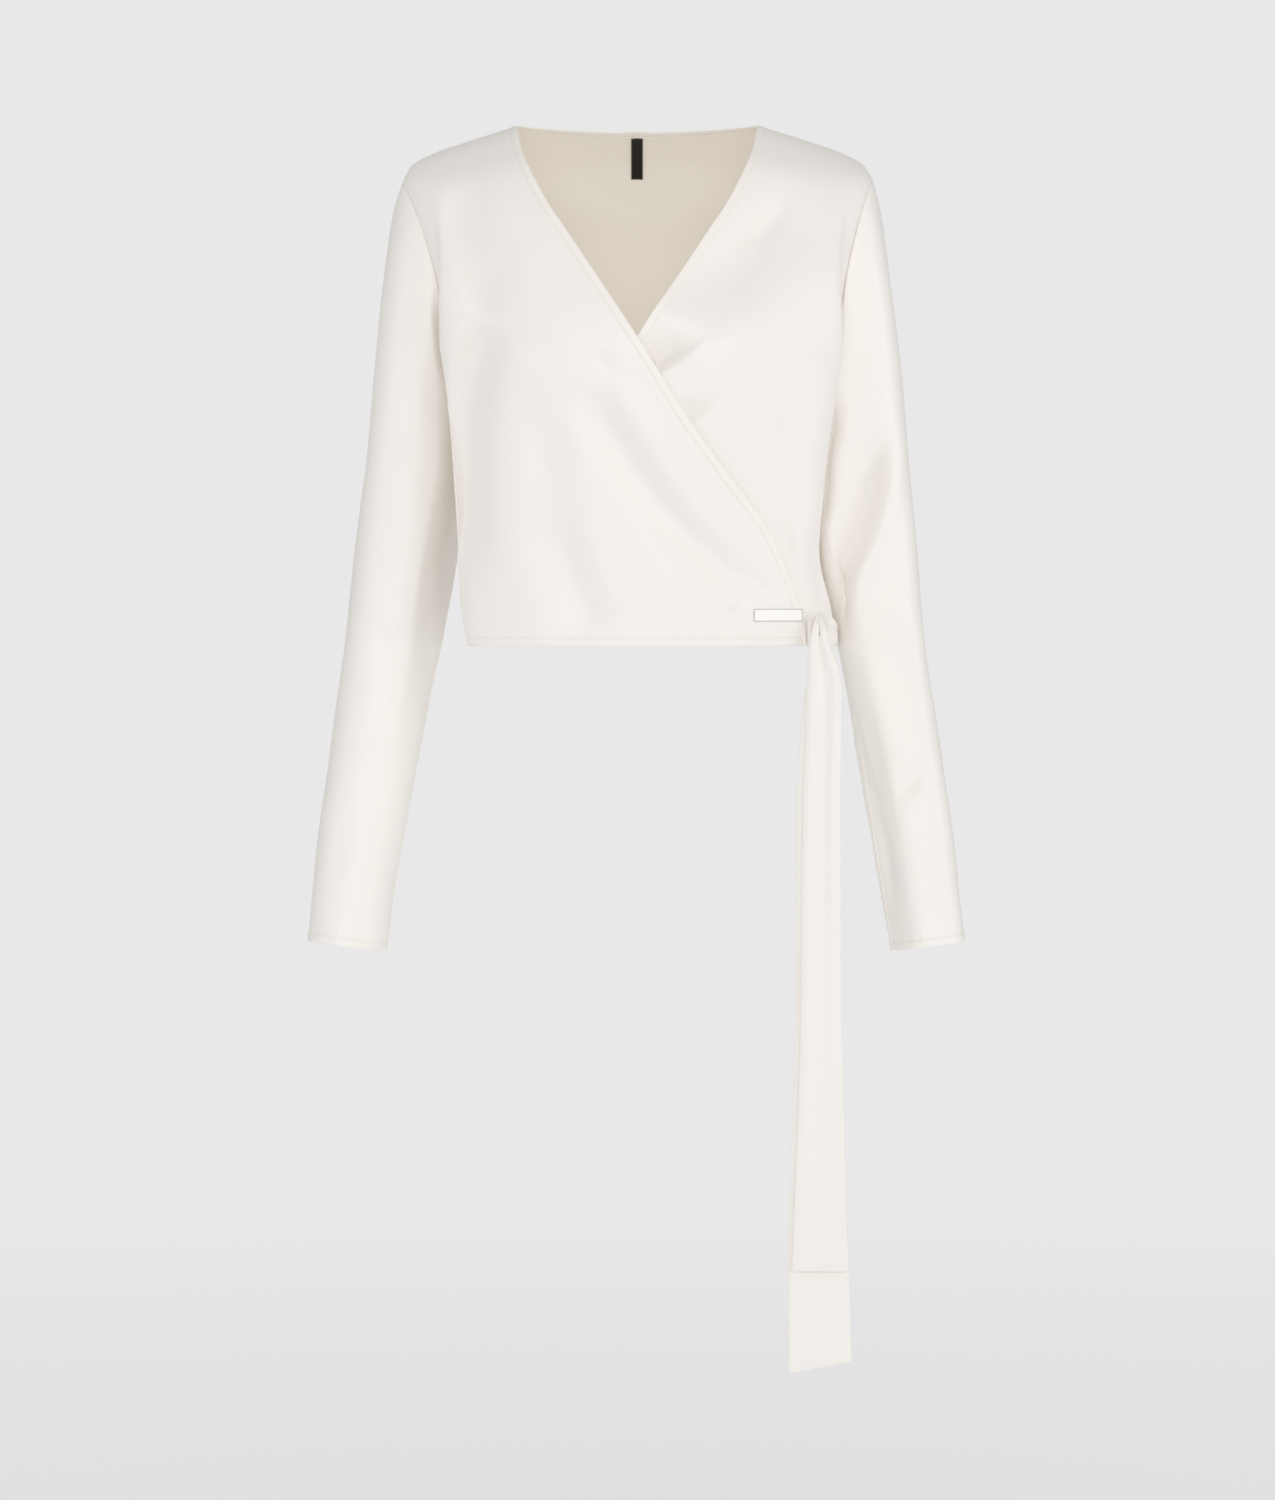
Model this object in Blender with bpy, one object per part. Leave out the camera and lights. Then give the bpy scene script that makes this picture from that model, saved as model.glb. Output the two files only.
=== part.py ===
"""A cropped wrap top in ivory satin, hollow, in the form it takes when worn.

Metres, +Z up. The wearer faces -Y, and the wearer's left is +X. The origin lies midway
between the shoulders, at the height where they carry the top.

The body is one smooth surface that goes from the front hem up over the shoulders and
down to the back hem. A place on it is given by a row and an across value. Rows are
numbered from 0 at the front hem, through 5 at the underarm and 11 on the shoulder
seam, to 22 at the back hem. Across runs from -1 at the wearer's right side seam or
armhole to 1 at the left one. The panels, edges and labels are all cut from it.
"""
import math
from collections import namedtuple

import bmesh
import bpy
from mathutils import Vector

# Cloth
CLOTH = 0.0012            # wall of the satin panels
BOUND = 0.0016            # wall of the folded bias edges
PROUD = 0.0002            # how far the bias edges stand above the panels
LABEL = 0.0010            # wall of the woven labels
SEAM_GAP = 0.0003         # between pieces that are sewn together
LAYER_DROP = 0.0022       # the under front lies this far inside the top one's edge
LAYER_NEAR = 0.0040       # in full up to this far past the edge
LAYER_FADE = 0.0320       # and fading out over this distance
HIDDEN_DROP = 0.0030      # and this much further in where the top one covers it
HIDDEN_FADE = 0.0400      # growing over this distance behind the edge
EDGE_WIDTH = 0.0064       # bias edges
SHARP_ANGLE = 50          # degrees between faces that meet in a crisp edge

# Body
UNDERARM_ROW = 5
SHOULDER_ROW = 11
BACK_HEM_ROW = 22
SIDE_ROUNDNESS = 0.85     # below 1 the sections are fuller than an ellipse
SIDE_FADE = 0.16          # folds and layers end this near a side, in across values
SHOULDER_FADE = 1.5       # folds end this near the shoulder seam, in rows
NECK_HALF_WIDTH = 0.096   # neck point to centre
NECK_ROWS = 0.58          # how far the back neck dips below the shoulder seam, in rows
NECK_EDGE_ROWS = 0.085    # the bias edge's width at the centre back, in rows
NECK_CURVE = 0.6          # how squarely the back neck meets the shoulder seam

# Section of the body below the underarm: half widths to the side seams, and depths
Lower = namedtuple("Lower", "right_x left_x side_y side_z front_y front_z back_y back_z")
LOWER = (
    Lower(0.1340, 0.1590, 0.004, -0.396, -0.088, -0.396, 0.079, -0.3895),
    Lower(0.1385, 0.1555, 0.004, -0.368, -0.090, -0.368, 0.081, -0.3640),
    Lower(0.1425, 0.1475, 0.004, -0.325, -0.094, -0.325, 0.084, -0.3240),
    Lower(0.1455, 0.1500, 0.004, -0.270, -0.101, -0.270, 0.089, -0.2700),
    Lower(0.1485, 0.1550, 0.003, -0.218, -0.109, -0.218, 0.094, -0.2180),
    Lower(0.1520, 0.1600, 0.002, -0.170, -0.115, -0.172, 0.099, -0.1720),
)
# The yoke: a row every 30 degrees round the armhole, from the underarm to the shoulder
Upper = namedtuple("Upper", "front_y front_z back_y back_z turn")
UPPER = (
    Upper(-0.115, -0.172, 0.099, -0.172, 90),
    Upper(-0.114, -0.150, 0.102, -0.150, 82),
    Upper(-0.108, -0.120, 0.103, -0.120, 74),
    Upper(-0.096, -0.082, 0.100, -0.082, 67),
    Upper(-0.079, -0.042, 0.090, -0.042, 62),
    Upper(-0.050, -0.001, 0.068, 0.002, 59),
    Upper(0.002, 0.033, 0.002, 0.033, 58),
)
# Fall of the shoulder line: share of the half width, share of the whole fall
SHOULDER_FALL = (
    (0.0, 0.0), (0.27, 0.075), (0.51, 0.225), (0.668, 0.374), (0.753, 0.464),
    (0.838, 0.559), (0.923, 0.690), (0.966, 0.800), (1.0, 1.0),
)
# Wrapped front edge: height, and distance from the centre towards its own shoulder
EDGE_LINE = (
    (-0.3970, -0.1335), (-0.3734, -0.1309), (-0.3656, -0.1283), (-0.3422, -0.1201),
    (-0.3073, -0.1040), (-0.2649, -0.0724), (-0.2225, -0.0410), (-0.1852, -0.0176),
    (-0.1570, 0.0), (-0.1100, 0.0306), (-0.0680, 0.0580), (-0.0500, 0.0697),
    (-0.0290, 0.0809), (-0.0042, 0.0914), (0.0190, 0.0960),
)
HIDDEN_REACH = 0.86       # the under front's hidden edge, as a share of the same line
CORNER_HEIGHT = -0.3734   # the wrapped edge ends and the tie's seam starts here
CORNER_SEAM = 0.0034      # width of the bias edge where it runs out at the hem
CORNER_LENGTH = 0.020     # length over which it narrows

# The armhole seam's walls lean outwards, less so under the arm
ARMHOLE_LEAN = 0.5
ARMHOLE_LEAN_CHANGE = 0.4

# Sleeves: outer and inner line of each ring, its place in depth, and how far the
# front and back of the ring are drawn in towards the body
Ring = namedtuple("Ring", "outer_right outer_left outer_z inner_right inner_left inner_z "
                          "mid_y half_depth drawn_in")
SLEEVE = (
    Ring(0.1880, 0.1893, -0.026, 0.1520, 0.1600, -0.170, 0.002, 0.0500, 0.008),
    Ring(0.1950, 0.1957, -0.052, 0.1532, 0.1612, -0.182, 0.008, 0.0560, 0.005),
    Ring(0.2005, 0.2005, -0.086, 0.1522, 0.1594, -0.192, 0.014, 0.0600, 0.002),
    Ring(0.2062, 0.2058, -0.130, 0.1504, 0.1570, -0.206, 0.020, 0.0620, 0.000),
    Ring(0.2122, 0.2118, -0.185, 0.1488, 0.1540, -0.228, 0.026, 0.0620, 0.000),
    Ring(0.2180, 0.2172, -0.245, 0.1458, 0.1505, -0.266, 0.030, 0.0590, 0.000),
    Ring(0.2270, 0.2248, -0.320, 0.1444, 0.1510, -0.333, 0.032, 0.0540, 0.000),
    Ring(0.2360, 0.2322, -0.400, 0.1600, 0.1648, -0.410, 0.029, 0.0480, 0.000),
    Ring(0.2465, 0.2440, -0.480, 0.1762, 0.1772, -0.489, 0.020, 0.0430, 0.000),
    Ring(0.2568, 0.2550, -0.560, 0.1905, 0.1905, -0.568, 0.006, 0.0380, 0.000),
    Ring(0.2625, 0.2612, -0.632, 0.1998, 0.2028, -0.640, -0.010, 0.0350, 0.000),
)

# Largest folds of the fronts: a trough along a line, seen from the front
Fold = namedtuple("Fold", "start_x start_z end_x end_z half_width depth")
FRONT_FOLDS = (
    Fold(-0.0370, -0.1875, 0.0960, -0.3540, 0.015, 0.0044),   # along the wrapped edge
    Fold(-0.1370, -0.0300, -0.1100, -0.1250, 0.016, 0.0036),  # armhole to right bust
    Fold(-0.0950, -0.1620, -0.1300, -0.2500, 0.014, 0.0034),  # right bust to side
    Fold(0.0200, -0.1800, 0.0480, -0.1600, 0.009, 0.0030),    # tuck under the crossing
    Fold(0.1350, -0.0450, 0.0720, -0.1400, 0.016, 0.0030),    # armhole to crossing
    Fold(0.1180, -0.2300, 0.1250, -0.3300, 0.013, 0.0022),    # left side
)
BACK_FOLDS = (
    Fold(-0.1250, -0.1300, -0.0700, -0.2500, 0.018, 0.0040),
    Fold(0.1300, -0.1400, 0.0800, -0.2400, 0.018, 0.0040),
    Fold(0.0150, -0.2300, 0.0250, -0.3400, 0.022, 0.0030),
)
# Largest folds of the sleeves: angle round and ring number at both ends
SleeveFold = namedtuple("SleeveFold", "side start_angle start_ring end_angle end_ring "
                                      "half_width depth")
SLEEVE_FOLDS = (
    SleeveFold(1, 60, 4.6, 135, 6.2, 0.011, 0.0046),
    SleeveFold(1, 130, 8.0, 75, 8.5, 0.010, 0.0040),
    SleeveFold(1, 250, 7.6, 300, 8.2, 0.012, 0.0042),
    SleeveFold(-1, 140, 3.6, 115, 6.4, 0.012, 0.0044),
    SleeveFold(-1, 255, 7.7, 300, 8.1, 0.012, 0.0040),
)

# Ties: both ends hang from the knot
TAIL_PLEATS = 1.6         # waves across a tail where it leaves the knot
TAIL_PLEAT_SHIFT = 0.12   # where the first wave starts, as a share of the width
Tail = namedtuple("Tail", "z left_x right_x y pleat")
TAIL_FRONT = (
    Tail(-0.3718, 0.1462, 0.1512, -0.0600, 0.0000),
    Tail(-0.3745, 0.1440, 0.1532, -0.0700, 0.0000),
    Tail(-0.3830, 0.1400, 0.1570, -0.0762, 0.0004),
    Tail(-0.3980, 0.1352, 0.1606, -0.0778, 0.0010),
    Tail(-0.4240, 0.1338, 0.1616, -0.0780, 0.0014),
    Tail(-0.4600, 0.1322, 0.1608, -0.0780, 0.0014),
    Tail(-0.5200, 0.1303, 0.1602, -0.0782, 0.0010),
    Tail(-0.6000, 0.1293, 0.1606, -0.0785, 0.0008),
    Tail(-0.6800, 0.1285, 0.1606, -0.0788, 0.0006),
    Tail(-0.7550, 0.1268, 0.1624, -0.0790, 0.0005),
    Tail(-0.8260, 0.1240, 0.1642, -0.0792, 0.0004),
    Tail(-0.8900, 0.1215, 0.1664, -0.0794, 0.0003),
)
TAIL_REAR = (
    Tail(-0.4060, 0.1420, 0.1560, -0.0640, 0.0010),
    Tail(-0.4220, 0.1360, 0.1590, -0.0715, 0.0012),
    Tail(-0.4500, 0.1300, 0.1610, -0.0752, 0.0014),
    Tail(-0.5200, 0.1256, 0.1600, -0.0754, 0.0010),
    Tail(-0.6000, 0.1252, 0.1600, -0.0757, 0.0008),
    Tail(-0.6800, 0.1246, 0.1604, -0.0760, 0.0006),
    Tail(-0.7550, 0.1228, 0.1622, -0.0762, 0.0005),
    Tail(-0.8260, 0.1198, 0.1648, -0.0764, 0.0004),
    Tail(-0.8900, 0.1190, 0.1668, -0.0766, 0.0003),
    Tail(-0.9656, 0.1192, 0.1686, -0.0768, 0.0000),
)
TAIL_END_SLANT = 0.0094   # the rear end is cut aslant, lower at its inner corner
TAIL_SLANT_POWER = 8      # keeps the slant to the end's last stretch
KNOT_CENTRE = Vector((0.1487, -0.0610, -0.3895))
KNOT_HALF = Vector((0.0098, 0.0095, 0.0152))
KNOT_SQUARE = 2.5         # above 2 the knot is squarer than a ball
KNOT_WRAPS = 3            # turns of tie that show as ridges round the knot
KNOT_WRAP_AXIS = Vector((0.35, 0.0, 0.5))
KNOT_RIDGE = 0.0006
# Stretches of tie that run into the knot
Strap = namedtuple("Strap", "start_z end_z start_width end_width pleat")
TIE_OVER = Strap(-0.3852, -0.3915, 0.0225, 0.0130, 0.0004)
TIE_SIDE = Strap(-0.3868, -0.3890, 0.0180, 0.0150, 0.0005)
TIE_SIDE_SEAM = (0.1602, -0.0005)   # where it leaves the side seam, x and y
TIE_SIDE_END_X = 0.1562
TIE_SEAM_GAP = 0.0009     # between the top front's corner and its tie
KNOT_GAP = 0.0010         # between the stretches and the knot
STRAP_PLEATS = 2

# Labels
HEM_LABEL_LEFT, HEM_LABEL_RIGHT = 0.0919, 0.1300
HEM_LABEL_TOP, HEM_LABEL_BOTTOM = -0.3700, -0.3796
NECK_LABEL_HALF = 0.0044
NECK_LABEL_START = 0.05   # below the neck edge, in rows of the back panel's mesh
NECK_LABEL_LENGTH = 1.7   # in the same rows

# Mesh density
ROWS = 22                 # per panel, two for each numbered row
SLEEVE_SIDES = 24         # 15 degrees each, as the panel's rows at the armhole
SLEEVE_STEPS = 20
FRONT_COLUMNS = 18
BACK_SHOULDER_COLUMNS = 9
BACK_NECK_COLUMNS = 12
COLUMN_CROWDING = 1.4     # above 1 the columns crowd towards the armhole
TAIL_STEPS = 30
TAIL_COLUMNS = 6
STRAP_STEPS = 6
KNOT_RINGS = 12
KNOT_SIDES = 20
HEM_LABEL_ROWS = 2
HEM_LABEL_COLUMNS = 8
NECK_LABEL_STEPS = 5

# Materials: colour, roughness
SATIN = ("satin", (0.86, 0.84, 0.79, 1.0), 0.42)
LABEL_WHITE = ("label_white", (0.90, 0.89, 0.87, 1.0), 0.60)
LABEL_BLACK = ("label_black", (0.02, 0.02, 0.02, 1.0), 0.60)

SMALL_STEP = 1e-3         # for slopes of the surfaces
HALVINGS = 40             # of a range, to find a place on a surface
ROUNDING = 1e-9


def spline(values, at):
    """Smooth curve through evenly numbered values."""
    last = len(values) - 1
    i = max(0, min(int(at), last - 1))
    t = at - i
    p1, p2 = values[i], values[i + 1]
    p0 = values[i - 1] if i > 0 else 2 * p1 - p2
    p3 = values[i + 2] if i + 2 <= last else 2 * p2 - p1
    a = 2 * p0 - 5 * p1 + 4 * p2 - p3
    b = 3 * p1 - p0 - 3 * p2 + p3
    return 0.5 * (2 * p1 + (p2 - p0) * t + a * t * t + b * t * t * t)


def curve_at(points, key):
    """Smooth curve through (key, value) points, straight beyond its ends."""
    keys = [p[0] for p in points]
    slopes = []
    for i in range(len(points)):
        low, high = points[max(i - 1, 0)], points[min(i + 1, len(points) - 1)]
        slopes.append((high[1] - low[1]) / (high[0] - low[0]))
    if key <= keys[0]:
        return points[0][1] + slopes[0] * (key - keys[0])
    if key >= keys[-1]:
        return points[-1][1] + slopes[-1] * (key - keys[-1])
    i = max(j for j, k in enumerate(keys) if k <= key)
    span = keys[i + 1] - keys[i]
    t = (key - keys[i]) / span
    start, end = points[i][1], points[i + 1][1]
    rise = 3 * t * t - 2 * t * t * t
    lead = (t - 2 * t * t + t * t * t) * span * slopes[i]
    trail = (t * t * t - t * t) * span * slopes[i + 1]
    return start + (end - start) * rise + lead + trail


def smooth(value):
    """0 to 1 with soft ends."""
    value = max(0.0, min(1.0, value))
    return value * value * (3 - 2 * value)


def turning_place(low, high, is_before):
    """The place between low and high where is_before stops being true."""
    for _ in range(HALVINGS):
        middle = (low + high) / 2
        if is_before(middle):
            low = middle
        else:
            high = middle
    return (low + high) / 2


def normal_of(surface, u, v):
    """Unit normal of surface(u, v) by its slopes."""
    e = SMALL_STEP
    along_u = surface(u + e, v) - surface(u - e, v)
    along_v = surface(u, v + e) - surface(u, v - e)
    return along_u.cross(along_v).normalized()


# --- sleeves -----------------------------------------------------------------

def sleeve_ring(side, ring, angle):
    """Plain sleeve tube: angle 0 outside, 90 front, 180 towards the body, 270 back."""
    def column(name):
        return spline([getattr(row, name) for row in SLEEVE], ring)
    outer_x = column("outer_left" if side > 0 else "outer_right")
    inner_x = column("inner_left" if side > 0 else "inner_right")
    outer_z, inner_z = column("outer_z"), column("inner_z")
    turn = math.radians(angle)
    x = (outer_x + inner_x) / 2 + (outer_x - inner_x) / 2 * math.cos(turn)
    x -= column("drawn_in") * math.sin(turn) ** 2
    y = column("mid_y") - column("half_depth") * math.sin(turn)
    z = (outer_z + inner_z) / 2 + (outer_z - inner_z) / 2 * math.cos(turn)
    return Vector((side * x, y, z))


def sleeve_fold(side, ring, angle):
    """Depth of the folds at a place on a sleeve."""
    here = sleeve_ring(side, ring, angle)
    depth = 0.0
    for fold in SLEEVE_FOLDS:
        if fold.side == side:
            start = sleeve_ring(side, fold.start_ring, fold.start_angle)
            end = sleeve_ring(side, fold.end_ring, fold.end_angle)
            depth += trough(here, start, end, fold.half_width, fold.depth)
    return depth


def trough(here, start, end, half_width, depth):
    """Depth at a point of a soft trough that follows the line from start to end."""
    line = end - start
    share = max(0.0, min(1.0, (here - start).dot(line) / line.length_squared))
    away = (here - start - line * share).length / half_width
    return depth * math.exp(-away * away)


def sleeve_normal(side, ring, angle):
    """Outward normal of the plain tube."""
    ring = max(SMALL_STEP, min(len(SLEEVE) - 1 - SMALL_STEP, ring))
    def surface(a, r):
        return sleeve_ring(side, r, math.degrees(a))
    return normal_of(surface, math.radians(angle), ring) * side


def sleeve_point(side, ring, angle):
    """Outer face of a sleeve with its folds."""
    fold = sleeve_fold(side, ring, angle)
    return sleeve_ring(side, ring, angle) - sleeve_normal(side, ring, angle) * fold


def armhole_normal(side, angle):
    """Direction in which the cloth's thickness is measured along the armhole seam."""
    turn = math.radians(angle)
    sideways = ARMHOLE_LEAN + ARMHOLE_LEAN_CHANGE * math.cos(turn)
    return Vector((side * sideways, -math.sin(turn), math.cos(turn))).normalized()


def armhole_point(side, angle, into_body):
    """A point half a seam gap to one side of the armhole seam."""
    e = math.degrees(SMALL_STEP)
    along = sleeve_ring(side, 0, angle + e) - sleeve_ring(side, 0, angle - e)
    across = along.cross(armhole_normal(side, angle)).normalized()
    if across.x * side > 0:
        across = -across
    shift = SEAM_GAP / 2 if into_body else -SEAM_GAP / 2
    return sleeve_ring(side, 0, angle) + across * shift


# --- body ----------------------------------------------------------------------

def profile(name):
    """A column of the sections from the front hem over the shoulder to the back hem."""
    front = [getattr(r, "front_" + name) for r in LOWER + UPPER[1:]]
    back = [getattr(r, "back_" + name) for r in LOWER + UPPER[1:]]
    return front + back[-2::-1]


PROFILE_Y, PROFILE_Z = profile("y"), profile("z")
TURN = [90.0] * UNDERARM_ROW + [r.turn for r in UPPER]
TURN = TURN + TURN[-2::-1]


def armhole_angle(row):
    """Angle round the armhole at a row above the underarm."""
    step = 180.0 / (SHOULDER_ROW - UNDERARM_ROW)
    return step * (SHOULDER_ROW - row) % 360.0


def panel_side(side, row):
    """Where a row ends: on the side seam, or on the armhole above the underarm."""
    level = min(row, BACK_HEM_ROW - row)
    if level > UNDERARM_ROW:
        return sleeve_ring(side, 0, armhole_angle(row))
    name = "left_x" if side > 0 else "right_x"
    x, y, z = (spline([getattr(r, c) for r in LOWER], level)
               for c in (name, "side_y", "side_z"))
    return Vector((side * x, y, z))


def body(across, row):
    """Plain surface of the body."""
    across = max(-1.0, min(1.0, across))
    row = max(0.0, min(float(BACK_HEM_ROW), row))
    side = 1 if across >= 0 else -1
    end = panel_side(side, row)
    centre_y, centre_z = spline(PROFILE_Y, row), spline(PROFILE_Z, row)
    turn = math.radians(min(90.0, spline(TURN, row)))
    angle = abs(across) * turn
    share = math.sin(angle) / math.sin(turn)
    closed = max(0.0, math.cos(turn)) ** SIDE_ROUNDNESS
    bulge = (max(0.0, math.cos(angle)) ** SIDE_ROUNDNESS - closed) / (1 - closed)
    y = end.y + (centre_y - end.y) * bulge
    z = centre_z + (end.z - centre_z) * curve_at(SHOULDER_FALL, share)
    return Vector((end.x * share, y, z))


def folds_at(point, row):
    """Depth of the folds at a place seen from the front or the back."""
    folds = FRONT_FOLDS if row <= SHOULDER_ROW else BACK_FOLDS
    here = Vector((point.x, 0, point.z))
    depth = 0.0
    for fold in folds:
        start = Vector((fold.start_x, 0, fold.start_z))
        end = Vector((fold.end_x, 0, fold.end_z))
        depth += trough(here, start, end, fold.half_width, fold.depth)
    return depth * smooth(abs(row - SHOULDER_ROW) / SHOULDER_FADE)


def body_fold(across, row):
    """The body's surface with its largest folds, which fade out at the sides."""
    point = body(across, row)
    fade = smooth((1 - abs(across)) / SIDE_FADE)
    return point - normal_of(body, across, row) * folds_at(point, row) * fade


def edge_x(height, inset):
    """Distance from the centre of the wrapped edge's line, moved inwards by inset."""
    slope = (curve_at(EDGE_LINE, height + SMALL_STEP)
             - curve_at(EDGE_LINE, height - SMALL_STEP)) / (2 * SMALL_STEP)
    below = smooth((CORNER_HEIGHT - height) / CORNER_LENGTH)
    inset *= 1 + (CORNER_SEAM / EDGE_WIDTH - 1) * below
    return curve_at(EDGE_LINE, height) + inset * math.hypot(1, slope)


def edge_across(side, row, inset, reach=1.0):
    """Across value of the wrapped edge at a row of the front of the given side."""
    def is_past_edge(distance):
        point = body(side * distance, row)
        line = edge_x(point.z, inset)
        line *= reach if line < 0 else 1.0
        return side * point.x < line
    return side * turning_place(-1.0, 1.0, is_past_edge)


def under_drop(across, row):
    """How far the under front lies inside the surface of the top one."""
    point = body(across, row)
    past_edge = point.x + edge_x(point.z, 0)
    near = smooth((LAYER_NEAR + LAYER_FADE - past_edge) / LAYER_FADE)
    covered = smooth(-past_edge / HIDDEN_FADE)
    return (LAYER_DROP * near + HIDDEN_DROP * covered) * smooth((1 - across) / SIDE_FADE)


def neck_across(inset):
    """Across value at which the neck edge, moved out by inset, meets the shoulder seam."""
    full = math.radians(TURN[SHOULDER_ROW])
    half_width = panel_side(1, SHOULDER_ROW).x
    share = (NECK_HALF_WIDTH + inset) / half_width
    return math.asin(share * math.sin(full)) / full


def neck_row(across, inset):
    """Row of the back neck edge, moved down by inset."""
    ends = neck_across(inset)
    rows = NECK_ROWS + NECK_EDGE_ROWS * inset / EDGE_WIDTH
    share = min(1.0, abs(across) / ends)
    return SHOULDER_ROW + rows * (1 - share * share) ** NECK_CURVE


# --- walls ---------------------------------------------------------------------

def material(finish):
    """The named Principled material, made once."""
    name, colour, roughness = finish
    found = bpy.data.materials.get(name)
    if found:
        return found
    made = bpy.data.materials.new(name)
    made.use_nodes = True
    shader = made.node_tree.nodes["Principled BSDF"]
    shader.inputs["Base Color"].default_value = colour
    shader.inputs["Roughness"].default_value = roughness
    shader.inputs["Metallic"].default_value = 0.0
    return made


def wall(name, grid, thickness, finish, closed=False):
    """A cloth piece: a grid of (outer point, normal) pairs given its thickness inwards."""
    mesh = bpy.data.meshes.new(name)
    bm = bmesh.new()
    outer = [[bm.verts.new(point) for point, _ in row] for row in grid]
    inner = [[bm.verts.new(point - normal * thickness) for point, normal in row]
             for row in grid]
    rows, columns = len(grid), len(grid[0])
    steps = columns if closed else columns - 1
    for i in range(rows - 1):
        for j in range(steps):
            k = (j + 1) % columns
            for sheet in (outer, inner):
                bm.faces.new((sheet[i][j], sheet[i][k], sheet[i + 1][k], sheet[i + 1][j]))
    for i in (0, rows - 1):
        for j in range(steps):
            k = (j + 1) % columns
            bm.faces.new((outer[i][j], outer[i][k], inner[i][k], inner[i][j]))
    if not closed:
        for j in (0, columns - 1):
            for i in range(rows - 1):
                bm.faces.new((outer[i][j], outer[i + 1][j], inner[i + 1][j], inner[i][j]))
    bmesh.ops.recalc_face_normals(bm, faces=bm.faces)
    bm.to_mesh(mesh)
    bm.free()
    return add_object(name, mesh, finish)


def add_object(name, mesh, finish):
    """Puts a mesh in the scene as a smooth shaded object under the top's empty."""
    mesh.shade_smooth()
    mesh.set_sharp_from_angle(angle=math.radians(SHARP_ANGLE))
    piece = bpy.data.objects.new(name, mesh)
    piece.data.materials.append(material(finish))
    piece.parent = bpy.data.objects["wrap_top"]
    bpy.context.scene.collection.objects.link(piece)
    return piece


def body_entry(across, row, surface, on_shoulder=False, front=True):
    """One (point, normal) pair of a panel, with the gaps and shared normals at its seams."""
    point = surface(across, row)
    normal = normal_of(surface, across, row)
    side = 1 if across > 0 else -1
    level = min(row, BACK_HEM_ROW - row)
    if abs(across) >= 1 - ROUNDING:
        if level >= UNDERARM_ROW:
            angle = armhole_angle(row)
            point = armhole_point(side, angle, into_body=True)
            normal = armhole_normal(side, angle)
        if level <= UNDERARM_ROW:
            point.y += (-1 if front else 1) * SEAM_GAP / 2
        if level < UNDERARM_ROW:
            normal = Vector((side, 0, 0))
    if on_shoulder:
        point.y += (-1 if front else 1) * SEAM_GAP / 2
        normal = Vector((normal.x, 0, normal.z)).normalized()
    return point, normal


def front_panel(name, side, surface, reach):
    """A wrapped front, from its side seam and armhole to its bias edge."""
    grid = []
    for i in range(ROWS + 1):
        row = SHOULDER_ROW * i / ROWS
        end = edge_across(side, row, EDGE_WIDTH + SEAM_GAP / 2, reach)
        line = []
        for j in range(FRONT_COLUMNS + 1):
            across = side + (end - side) * (j / FRONT_COLUMNS) ** COLUMN_CROWDING
            line.append(body_entry(across, row, surface, on_shoulder=(i == ROWS)))
        grid.append(line)
    wall(name, grid, CLOTH, SATIN)


def front_edge(name, side, surface, reach):
    """The bias edge of a wrapped front: a flat strip beyond the panel, slightly thicker."""
    grid = []
    for i in range(ROWS + 1):
        row = SHOULDER_ROW * i / ROWS
        line = []
        for inset in (EDGE_WIDTH - SEAM_GAP / 2, EDGE_WIDTH / 2, 0.0):
            across = edge_across(side, row, inset, reach)
            point, normal = body_entry(across, row, surface, on_shoulder=(i == ROWS))
            line.append((point + normal * PROUD, normal))
        grid.append(line)
    wall(name, grid, BOUND, SATIN)


def back_columns(inset):
    """Across values of the back panel, as the fronts' along the shoulder seams."""
    ends = neck_across(inset)
    shoulder = [1 + (ends - 1) * (j / BACK_SHOULDER_COLUMNS) ** COLUMN_CROWDING
                for j in reversed(range(BACK_SHOULDER_COLUMNS))]
    neck = [ends * math.sin(math.pi * (j / BACK_NECK_COLUMNS - 0.5))
            for j in range(BACK_NECK_COLUMNS + 1)]
    return [-a for a in reversed(shoulder)] + neck + shoulder


def back_panel():
    """The back, from the hem up to the neck edge and the shoulder seams."""
    inset = EDGE_WIDTH + SEAM_GAP / 2
    ends = neck_across(inset)
    grid = []
    for i in range(ROWS + 1):
        line = []
        for across in back_columns(inset):
            top = neck_row(across, inset)
            row = BACK_HEM_ROW + (top - BACK_HEM_ROW) * i / ROWS
            on_seam = i == ROWS and abs(across) >= ends - ROUNDING
            line.append(body_entry(across, row, body_fold, on_seam, front=False))
        grid.append(line)
    wall("back", grid, CLOTH, SATIN)
    return grid


def neck_edge():
    """The bias edge of the back neck."""
    grid = []
    for inset in (EDGE_WIDTH - SEAM_GAP / 2, EDGE_WIDTH / 2, 0.0):
        line = []
        for j in range(BACK_NECK_COLUMNS + 1):
            across = neck_across(inset) * math.sin(math.pi * (j / BACK_NECK_COLUMNS - 0.5))
            on_seam = j in (0, BACK_NECK_COLUMNS)
            row = neck_row(across, inset)
            point, normal = body_entry(across, row, body_fold, on_seam, front=False)
            line.append((point + normal * PROUD, normal))
        grid.append(line)
    wall("edge_neck", grid, BOUND, SATIN)


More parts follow.
